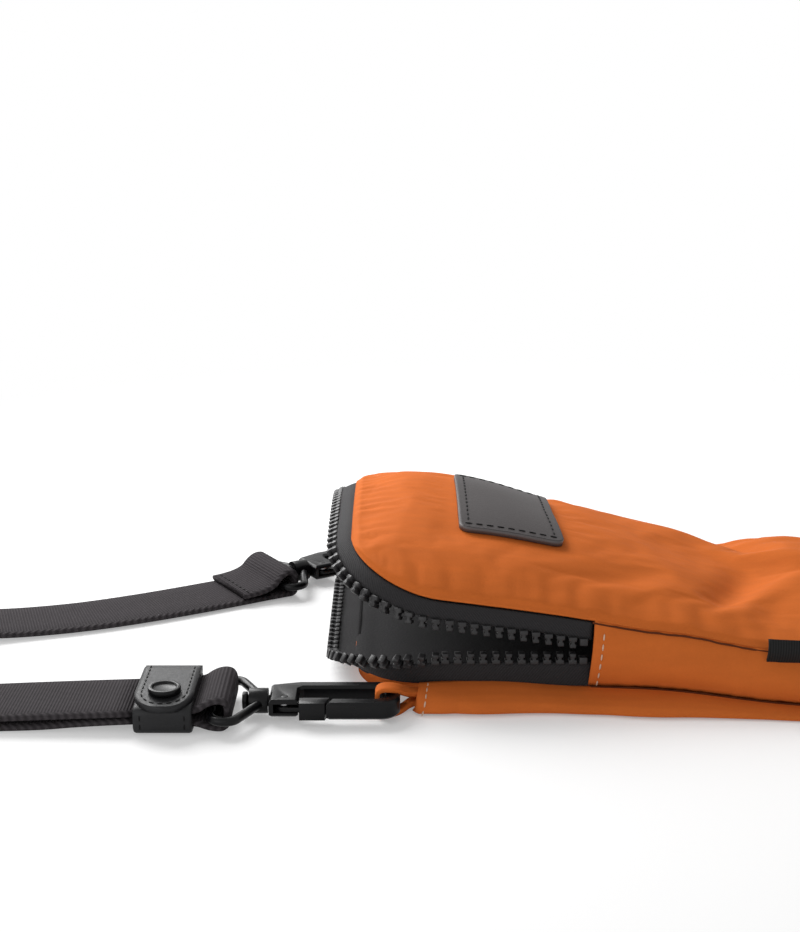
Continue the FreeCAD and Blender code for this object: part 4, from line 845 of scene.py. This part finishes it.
def outline_point(share, runs=FOOT_RUNS):
    """x, y and outward direction at a share of the runs' length."""
    gone = share * sum(length for length, _ in runs)
    for length, point in runs:
        if gone < length:
            return point(gone)
        gone -= length
    return point(length + gone)


print("outline:", round(sum(length for length, _ in WHOLE_RUNS)), "mm round")


# %% [markdown]
# ## Front panel
# The front and its lip are one sheet of cloth in the real pouch, so they are one grid that runs over the lip's
# hinge. Wrinkles could be painted as bump alone, but the picture's folds change the outline. So the main folds
# are lines in plan with a width and a rise, noise gathers the cloth along the seams, and a cloth run follows.

# %% Folds
# Each fold: its line in plan, its width and how far it rises, in mm
FOLDS = [
    ([(-64, 26), (-45, 6), (-24, -28), (-6, -36)], 19, 1.7),
    ([(-40, 52), (-24, 45)], 10, -1.2),
    ([(7, 54), (12, 36), (11, 10)], 12, 1.9),
    ([(27, 56), (29, 42), (29, 28)], 6.0, -1.6),
    ([(24, 14), (31, 8), (49, 4), (62, 5)], 6.0, 1.0),
    ([(52, -6), (40, -4), (32, -5), (24, -20), (16, -34)], 6.0, -1.9),
    ([(62, -12), (44, -17), (34, -26), (25, -35), (17, -50)], 6.0, 1.3),
    ([(66, -26), (50, -38), (40, -50)], 6.0, -0.8),
    ([(35, 24), (48, 30), (68, 33)], 6.0, -1.3),
    ([(-20, -49), (-6, -42), (8, -38)], 5.0, 0.4),
    ([(96, -20), (84, -26), (72, -40)], 6.0, -0.8),
    ([(95, 22), (82, 28), (70, 44)], 6.0, -0.8),
]


def gap_to_line(x, y, line):
    """Distance from a place to a line through points."""
    gaps = []
    for (ax, ay), (bx, by) in zip(line, line[1:]):
        run_x, run_y = bx - ax, by - ay
        share = min(max(((x - ax) * run_x + (y - ay) * run_y) / (run_x ** 2 + run_y ** 2), 0), 1)
        gaps.append(math.hypot(x - ax - share * run_x, y - ay - share * run_y))
    return min(gaps)


def fold_rise(x, y):
    """How far all folds together lift the cloth at a place."""
    return sum(rise * math.exp(-(gap_to_line(x, y, line) / wide) ** 2) for line, wide, rise in FOLDS)


def pleat(along, seed, spacing):
    """0 to 1: sharp valleys at uneven places about a spacing apart."""
    return 1 - min(1, abs(wave(along / spacing, seed)) * 3.2)


print("folds:", len(FOLDS))


# %% Front panel
def gathers(x, y, to_side, to_end):
    """Noise along the seams, and pleats that run in from the mouth and the sides."""
    inside = min(to_side, to_end)
    by_side = ease(-4, 4, to_end - to_side)
    gather = by_side * wave(x * 0.24, y * 0.03, 3.0) + (1 - by_side) * wave(y * 0.24, x * 0.03, 8.0)
    rise = 0.4 * gather * ease(0.5, 4, inside) * (1 - ease(5, 14, inside))
    if x < 0:
        length = 17 + 9 * wave(y * 0.15, 4.0)
        fading = ease(0.5, 3, to_end) * (1 - ease(2, length, to_end)) * ease(4, 16, to_side)
        rise -= 0.55 * pleat(y, 2.0, 5.5) * fading
    fading = ease(0.5, 3, to_side) * (1 - ease(3, 13, to_side)) * ease(4, 16, to_end)
    return rise - 0.4 * pleat(x, 6.0, 9.0) * fading


def front_place(a, c):
    x = lengthwise(a)
    half = plan_half(x)
    y = (2 * c - 1) * half
    to_side, to_end = half - abs(y), x - X_MOUTH if x < 0 else X_FOOT - x
    inside = min(to_side, to_end)
    flat_far = 1 - 0.9 * ease(-40, 10, x) * ease(10, 40, y)
    roll = 0.9 * ease(0, 10, inside) * (1 - ease(10, 30, inside)) * flat_far
    z = front_z(x, y) + roll - 0.9 * (1 - ease(0, 2.5, inside)) + fold_rise(x, y) * ease(2, 16, inside)
    z -= 0.9 * ease(-52, -30, x) * ease(2, 16, inside)
    z += gathers(x, y, to_side, to_end)
    out = -0.4 + 2.0 * ease(0, 4, inside) * (1 - ease(5, 16, inside))
    side = math.copysign(1, y) if to_side < 16 else 0
    corner = 1 - ease(X_FOOT - FOOT_R, X_FOOT, x)
    y += side * out - upper_spread(x, -HALF) * corner * max(-y / half, 0) ** 2
    return mm(x, y, z), x * MM, y * MM


bm = grid_sheet(140, 96, front_place)
front = finish_piece("front_cloth", bm, cloth, None, ["front_panel", "lip_panel"])
print("front grid:", len(front.data.polygons), "faces")


# %% [markdown]
# ## Cloth run
# Padding pushes the cloth out between its seams. A displacement would lift it evenly, but cloth gives more
# where it has room, so a short cloth run with a little spare cloth does it. Seams and patch are held, and each
# point stays within a cap of its place, so that the picture's folds are kept.

# %% Cloth run
def billow(piece, pinned, shrink, pressure, cap, frames):
    """Runs the cloth with its pinned points held, and keeps each point within a cap of where it was."""
    rest = [v.co.copy() for v in piece.data.vertices]
    group = piece.vertex_groups.new(name="held")
    for index, weight in pinned.items():
        group.add([index], weight, "REPLACE")
    cloth_run = piece.modifiers.new("billow", "CLOTH")
    settings = cloth_run.settings
    settings.quality, settings.mass = 6, 0.15
    settings.tension_stiffness = settings.compression_stiffness = 12
    settings.shear_stiffness, settings.bending_stiffness = 6, 0.4
    settings.vertex_group_mass, settings.shrink_min = "held", shrink
    settings.use_pressure, settings.uniform_pressure_force = True, pressure
    settings.effector_weights.gravity = 0
    cloth_run.point_cache.frame_start, cloth_run.point_cache.frame_end = 1, frames
    for moment in range(1, frames + 1):
        scene.frame_set(moment)
    graph = bpy.context.evaluated_depsgraph_get()
    moved = [v.co.copy() for v in piece.evaluated_get(graph).data.vertices]
    piece.modifiers.clear()
    piece.vertex_groups.clear()
    scene.frame_set(1)
    farthest = 0.0
    for vert, before, after in zip(piece.data.vertices, rest, moved):
        step = after - before
        if step.length > cap * MM:
            step *= cap * MM / step.length
        farthest = max(farthest, step.length)
        vert.co = before + step
    print(piece.name, "moved by up to", round(farthest / MM, 2), "mm")


held = {}
for index, vert in enumerate(front.data.vertices):
    x, y = vert.co.x / MM, vert.co.y / MM
    inside = min(plan_half(x) - abs(y), x - X_MOUTH, X_FOOT - x)
    on_patch = -62 < x < -26 and abs(y) < 30
    weight = max(1 - ease(0.5, 6, inside), 0.55 if on_patch else 0.0)
    if weight > 0:
        held[index] = weight
billow(front, held, shrink=-0.007, pressure=1.2, cap=1.5, frames=20)
rounder = front.modifiers.new("rounder", "SUBSURF")
rounder.levels = rounder.render_levels = 1
bake(front)
front_tree = tree_of(front)
thicken(front, 1.0 * MM)


def bend_at_lip(piece):
    """Bakes a piece's transform into its mesh."""
    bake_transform(piece)


bend_at_lip(front)
print("front cloth:", len(front.data.polygons), "faces")


def front_height(x, y):
    """Height of the front cloth at a place, in metres."""
    return front_tree.ray_cast(mm(x, y, 80), DOWN)[0].z


# %% [markdown]
# ## Front lining
# The mouth shows a dark lining under the front. It could be an offset of the cloth, but that would copy every
# fold, and a lining hangs smoother, so it is a sheet of its own that drops away from the seam.

# %% Front lining
def front_lining_place(a, c):
    x = lengthwise(a, 3)
    half = plan_half(x) - 1.8
    y = (2 * c - 1) * half
    inside = min(half - abs(y), x - X_MOUTH, X_FOOT - x)
    z = front_z(x, y) - 2.6 - 3.0 * ease(0, 10, inside) + 0.3 * wave(x * 0.06, y * 0.06, 9)
    return mm(x, y, z), x * MM, y * MM


nodes = ["front_padding", "front_lining", "lip_padding", "lip_lining"]
front_lining = sheet_piece("front_inside", (70, 40, front_lining_place), lining, nodes, 0.6)
bend_at_lip(front_lining)
print("front lining made")


# %% [markdown]
# ## Back and its lining
# The back is a shallow tray with soft, bulging sides. It could be one box with rounded edges, but the picture
# shows the cloth rolling out between the seam and the floor, so its section is drawn as a bulge and swept round
# the outline. Its lining is a sheet like the front's, turned up to the seam.

# %% Back and its lining
# Section of the tray's side: share of the bulge, then of the seam's height
BULGE = [(0.0, 1.0), (0.36, 0.95), (0.68, 0.8), (0.91, 0.58), (1.0, 0.34), (0.98, 0.14), (0.8, 0.03)]
# Its rows on the floor: reach from the outline in mm, then share of the seam's height
UNDER = [(-4, 0.012), (-11, 0.0), (-21, 0.0)]


def bulge(x, out):
    """How far the tray's side rolls out past the seam."""
    if out.x < -0.01:
        return 1.8 - 4.0 * ease(0, 0.5, -out.x)
    wide, slack = (4.6, 2.4 * ease(-42, -5, x)) if out.y > 0 else (8.2, 3.6 * ease(-15, 25, x))
    side = 1.8 + wide * ease(-76.5, -71.5, x) - slack
    return side * (1 - 0.5 * max(out.x, 0))


def back_skin(x, y, out, c):
    """Point of the tray's cloth: c is 0 at the seam and 1 on the floor, inside the outline."""
    puff = bulge(x, out) * (1 + 0.16 * wave(x * 0.045, y * 0.05, 7))
    rows = [(-0.7 + (puff + 0.7) * share, rise) for share, rise in BULGE] + UNDER
    row = c * (len(rows) - 1)
    first = min(int(row), len(rows) - 2)
    part = row - first
    reach, rise = (low + (high - low) * part for low, high in zip(*rows[first:first + 2]))
    reach += lower_spread(x, y) * abs(out.y)
    pucker = 0.45 * wave(x * 0.4, y * 0.4, 1.0) - 0.5 * pleat(x + y, 3.0, 8.0)
    reach += pucker * max(0, 1 - abs(c - 0.2) / 0.2)
    top = rim_z(x) - 0.6 * ease(0, 0.5, -out.x)
    return mm(x, y, max(top * rise, 0.06)) + out * (reach * MM)


def back_place(a, c):
    return back_skin(*outline_point(a % 1.0, WHOLE_RUNS), c), a * 0.58, c * 0.05


bm = grid_sheet(420, 27, back_place)
bmesh.ops.remove_doubles(bm, verts=bm.verts, dist=1e-6)
inner = [e for e in bm.edges if e.is_boundary and e.verts[0].co.z < 0.0008]
bmesh.ops.holes_fill(bm, edges=inner, sides=0)
bmesh.ops.recalc_face_normals(bm, faces=bm.faces)
back = finish_piece("back_cloth", bm, cloth, None, ["back_panel"])
thicken(back, 0.9 * MM)
for vert in back.data.vertices:
    vert.co.z = max(vert.co.z, 0.02 * MM)  # nothing goes into the floor
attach(back, "pouch")
print("back cloth:", len(back.data.polygons), "faces")


def back_lining_place(a, c):
    x = lengthwise(a, 2.0)
    half = plan_half(x) - 1.4
    y = (2 * c - 1) * half
    inside = min(half - abs(y), x - X_MOUTH - 1, X_FOOT - x - 1)
    at_mouth = ease(X_MOUTH + 26, X_MOUTH + 10, x)
    bottom = 3.6
    lift = (rim_z(x) - 0.8 - bottom + 1.0 * at_mouth) * (1 - ease(0, 7, inside))
    return mm(x, y, bottom + lift + 0.25 * wave(x * 0.05, y * 0.05, 5)), x * MM, y * MM


nodes = ["back_lining", "back_padding"]
sheet_piece("back_inside", (70, 40, back_lining_place), lining, nodes, 0.8, "pouch")


# %% [markdown]
# ## Gusset and seams
# The gusset is the band between the two seams, from one zip end round the foot to the other. It could be a
# plain loft, but sewn cloth bellies out and puckers at its stitches, so each row of the grid gets both.
# A dark cord lies in each seam: it is the seam's thread, and its dark colour also paints the shade in the
# seam's groove.

# %% Gusset
def gusset_place(a, c):
    x, y, out = outline_point(a)
    low_z, high_z = rim_z(x) + 0.1, front_z(x, y) - 0.7
    x += (1.6 * c - 0.8) * (1 - ease(0, 12, x - X_ZIP))
    low_out, high_out = (amount(x, y) * abs(out.y) for amount in (lower_spread, upper_spread))
    belly = math.sin(c * math.pi) ** 0.7
    dent = 1.0 * wave(x * 0.07, y * 0.07, c * 0.9) * belly
    pucker = (0.35 * wave(x * 0.5, y * 0.5, 4) - 0.3 * pleat(x + y, 5.0, 9.0)) * abs(2 * c - 1)
    reach = low_out + (high_out - low_out) * c + 2.3 * belly + dent + pucker - 0.7
    return mm(x, y, low_z + (high_z - low_z) * c) + out * (reach * MM), a * 0.4, c * 0.02


nodes = ["gusset_strip"]
gusset = sheet_piece("gusset_cloth", (220, 14, gusset_place), cloth, nodes, 0.9, "pouch")
gusset_tree = tree_of(gusset)


def seam_cord(name, amount, height):
    """Thread drawn tight in a seam round the foot; its dark colour also paints the shade in the seam's groove.
    """
    line, steps = [], 440
    for k in range(steps + 1):
        x, y, out = outline_point(k / steps)
        z = height(x, y) + 0.2 * wave(x * 0.35, y * 0.35, 11)
        line.append(mm(x, y, z) + out * ((amount(x, y) * abs(out.y) - 0.1) * MM))
    bm = band(line, [UP] * len(line), 0.0004, 0.0008)
    finish_piece(name, bm, seam_thread_and_shade, "pouch")


seam_cord("upper_seam", upper_spread, lambda x, y: front_z(x, y) - 1.6)
seam_cord("lower_seam", lower_spread, lambda x, y: rim_z(x) + 0.05)
for side, sign in (("near", -1), ("far", 1)):
    start, rise = mm(X_ZIP + 1.7, sign * 90, 6.0), front_z(X_ZIP + 3, sign * HALF) - 8.6
    points = [start + mm(1.7, 0, rise) * (k / 12) for k in range(13)]
    line, normals = cast(gusset_tree, points, ALONG_Y * -sign)
    stitches(f"{side}_gusset_stitches", line, normals, pale_thread, "pouch", 2.0, 0.9, 0.55)
print("gusset:", len(gusset.data.polygons), "faces")


# %% [markdown]
# ## Zip
# Two rows of moulded teeth stand on woven tapes round the mouth. The tapes are strips along the seam that tilt
# outwards towards the mouth; the teeth keep the frame's places and get bevelled edges. An array along a curve
# would do too, but the tilt changes round each corner, and the frame already holds it.

# %% Zip tapes
SEAM_IN, TAPE_SHOW, TAPE_THICK = 0.6, 4.8, 0.9
UPPER_TILT, LOWER_TILT = math.radians(66), math.radians(86)
ZIP_RUNS = mouth_runs(SEAM_IN)
ZIP_LENGTH = sum(length for length, _ in ZIP_RUNS)


def tape_place(upper):
    """Places for a strip that hangs from the seam, or stands on it, and tilts out towards the mouth."""
    def place(a, c):
        gone = a * ZIP_LENGTH
        x, y, out = outline_point(1 - a, ZIP_RUNS)
        point, turn = Vector((x, y, 0)), math.asin(min(max(-out.x, 0), 1)) / (math.pi / 2)
        if upper:
            tilt, rise = UPPER_TILT * turn, -1
            outer = point + out * 0.45
            point.z = front_z(outer.x, outer.y) - 1.5
        else:
            tilt, rise = LOWER_TILT * turn, 1
            point.z = 6.5 - 2.5 * turn
        across = out * math.sin(tilt) + UP * (rise * math.cos(tilt))
        hidden = 0.5 if upper else 0.5 + turn + 2.0 * ease(-60, -45, point.x)
        reach = -hidden + c * (TAPE_SHOW + 0.6 + hidden)
        if upper:
            point.z -= 0.8 * (1 - ease(-0.5, 2.2, reach))
        curl = 0.25 * wave(gone * 0.05, 2.0 if upper else 6.0)
        normal = Vector((out.y, -out.x, 0)).cross(across)
        return (point + across * reach + normal * curl) * MM, gone * MM, reach * MM
    return place


nodes = ["lower_zip_tape"]
sheet_piece("lower_tape", (240, 6, tape_place(False)), tape, nodes, TAPE_THICK, "pouch", offset=0.0)
nodes, grid = ["near_upper_tape", "far_upper_tape", "lip_zip_tape"], (240, 6, tape_place(True))
upper_tape = sheet_piece("upper_tape", grid, tape, nodes, TAPE_THICK, offset=0.0)
bend_at_lip(upper_tape)
print("zip tapes:", round(ZIP_LENGTH), "mm each")

# %% [markdown]
# ## Zip teeth, stops, slider and pull
# These solids have the right shape, so they are copied with bevelled edges, as the hooks are. At the lip's
# hinge the frame leaves out a tooth on each side. The place could stay empty, but the gap would show, so a
# tooth is copied from its neighbour.

# %% Zip teeth, stops, slider and pull
TOOTH_PITCH, TOOTH_EASE = 3.5, 0.3
for node, width, body in (
    ("lower_zip_teeth", TOOTH_EASE, "pouch"), ("side_upper_teeth", TOOTH_EASE, "pouch"),
    ("lip_zip_teeth", TOOTH_EASE, "lip"), ("zip_stops", 0.2, "pouch"),
):
    eased_copy(node, width, tooth_plastic, body)
bm = bmesh.new()
bm.from_mesh(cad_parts["side_upper_teeth"].data)
past_last = [v for v in bm.verts if v.co.x > (X_LIP + 3) * MM]
bmesh.ops.delete(bm, geom=past_last, context="VERTS")
last_x = X_LIP + 1.3
rise = front_z(last_x - TOOTH_PITCH, HALF) - front_z(last_x, HALF)
bmesh.ops.translate(bm, vec=mm(-TOOTH_PITCH, 0, rise), verts=bm.verts)
ease_edges(bm, TOOTH_EASE)
hinge_teeth = finish_piece("hinge_teeth", bm, tooth_plastic, None)
bend_at_lip(hinge_teeth)
eased_copy("zip_slider", 0.4, black_metal, "slider", 3)
eased_copy("zip_pull", 0.35, black_metal, "pull", 3)
print("zip teeth, stops, slider and pull made")

# %% [markdown]
# ## Patch
# The patch is leather with painted edges and a row of stitches, and it is bare. A shrinkwrap would press it
# into every fold, but leather is stiffer than cloth, so it lies on the mean height of the cloth around a point.

# %% Patch
low, high = box_mm("leather_patch")
PATCH_R, PATCH_THICK, INSET = 3.0, 1.7, 2.6
half_x, half_y = (high.x - low.x) / 2 - 0.2, 26.0
mid_x = (low.x + high.x) / 2


def patch_point(dx, dy, a, z):
    """A place of the patch: its near end is drawn out a little, and askew."""
    near = max(-dy / half_y, 0)
    return mm(mid_x + dx + 1.4 * a * near, dy - 1.4 * near * (1 - 0.4 * a), z)


def patch_place(a, c):
    dx, dy = (2 * a - 1) * half_x, (2 * c - 1) * half_y
    over_x, over_y = abs(dx) - (half_x - PATCH_R), abs(dy) - (half_y - PATCH_R)
    if over_x > 0 and over_y > 0:
        pull_in = max(over_x, over_y) / math.hypot(over_x, over_y)
        dx = math.copysign(half_x - PATCH_R + over_x * pull_in, dx)
        dy = math.copysign(half_y - PATCH_R + over_y * pull_in, dy)
    around = [front_height(mid_x + dx + ox, dy + oy) for ox in (-5, 0, 5) for oy in (-5, 0, 5)]
    return patch_point(dx, dy, a, PATCH_THICK) + UP * (sum(around) / len(around)), dx * MM, dy * MM


bm = grid_sheet(40, 72, patch_place)
patch = finish_piece("patch_leather_piece", bm, leather, None, ["leather_patch"])
patch_top = tree_of(patch)
patch.data.materials.append(edge_paint.material)
rim = patch.modifiers.new("thick", "SOLIDIFY")
rim.thickness, rim.offset, rim.material_offset_rim = PATCH_THICK * MM, -1.0, 1
bake(patch)
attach(patch, "pouch")
hx, hy = half_x - INSET, half_y - INSET
corners, points = [(-hx, -hy), (hx, -hy), (hx, hy), (-hx, hy), (-hx, -hy)], []
for (ax, ay), (bx, by) in zip(corners, corners[1:]):
    for k in range(STEPS):
        x, y = ax + (bx - ax) * k / STEPS, ay + (by - ay) * k / STEPS
        points.append(patch_point(x, y, (x + hx) / (2 * hx), 80))
line, normals = cast(patch_top, points, DOWN)
stitches("patch_stitches", line, normals, dark_thread, "pouch", 2.3, 0.9, 0.6)
print("patch made")

# %% [markdown]
# ## Label
# The label is a folded woven strip caught in the upper seam, and it is bare. A flat plate would do from the
# front, but a woven strip bows between its ends, so its grid is bent in both directions.

# %% Label
low, high = box_mm("side_label")


def label_place(a, c):
    """The label stands nearly upright out of the seam and bows outwards."""
    x = low.x + a * (high.x - low.x)
    bow = 0.6 * c * math.sin(a * math.pi * 1.3)
    root = HALF + 0.6 + upper_spread(x, -HALF)
    return mm(x, -root - 2.4 * math.sin(c * 2.4) - bow, low.z + 1.4 + 7.2 * c), (x - low.x) * MM, c * 0.0075


nodes, grid = ["side_label"], (30, 10, label_place)
sheet_piece("side_label_cloth", grid, label_cloth, nodes, 0.8, "pouch", flip=True)
print("label made")

# %% [markdown]
# ## Tabs
# Each tab is a folded strip of the pouch's cloth round a hook's nose, and its two ends are sewn under a cuff.
# The cuff could be a patch of its own shape, but it lies on the tray, so it takes the tray's skin and lifts it.

# %% Tabs
CUFF_EDGE, CUFF_LEAN, CUFF_LENGTH, CUFF_DOWN, CUFF_SEWN = -73.6, 2.0, 16.0, 0.62, 2.6


def cuff_place(sign):
    """Places for the cuff: proud of the tray at the tab, and gone into it at the other end."""
    out = ALONG_Y * sign

    def place(a, c):
        x = CUFF_EDGE + CUFF_LEAN * (1 - c) + a * CUFF_LENGTH
        lift = 0.9 - 1.4 * ease(0.4, 1.0, a)
        return back_skin(x, sign * HALF, out, c * CUFF_DOWN) + out * (lift * MM), a * CUFF_LENGTH * MM, c * 0.01
    return place


for side, sign in (("near", -1), ("far", 1)):
    low, high = box_mm(f"{side}_tab")
    y, nose, end = (low.y + high.y) / 2, low.x + 4.3, high.x + 1
    tab_route = [(end, 2.8), (nose + 6, 2.2), (nose + 2, 0.7), (nose - 4.0, 0.6), (nose - 4.0, 4.5)]
    tab_route += [(nose - 4.0, 8.4), (nose + 1, 8.2), (nose + 4, 5.4), (nose + 7, 4.0), (end, 3.8)]
    line = smooth_line([(x, y - sign * 7.0 * ease(nose, nose + 7, x), z) for x, z in tab_route])
    bm = band(line, [ALONG_Y] * len(line), 0.005, 0.0013)
    finish_piece(f"{side}_tab_cloth", bm, cloth, "pouch", [f"{side}_tab"])
    place, nodes, out = cuff_place(sign), [f"{side}_tab_anchor"], ALONG_Y * sign
    grid = (20, 16, place)
    sheet_piece(f"{side}_cuff_cloth", grid, cloth, nodes, 0.9, "pouch", flip=sign < 0)
    line = [place(CUFF_SEWN / CUFF_LENGTH, 0.08 + 0.8 * k / 12)[0] + out * 0.0001 for k in range(13)]
    normals = [out] * len(line)
    stitches(f"{side}_cuff_stitches", line, normals, pale_thread, "pouch", 1.9, 0.9, 0.5)
print("tabs made")

# %% [markdown]
# The strap is the one free cord, and the front and the back are padded walls. The dressed part's box is
# worked out and printed.

# %% Box of the dressed part
low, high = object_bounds()
print("visual box", [round(c, 4) for c in low], [round(c, 4) for c in high])
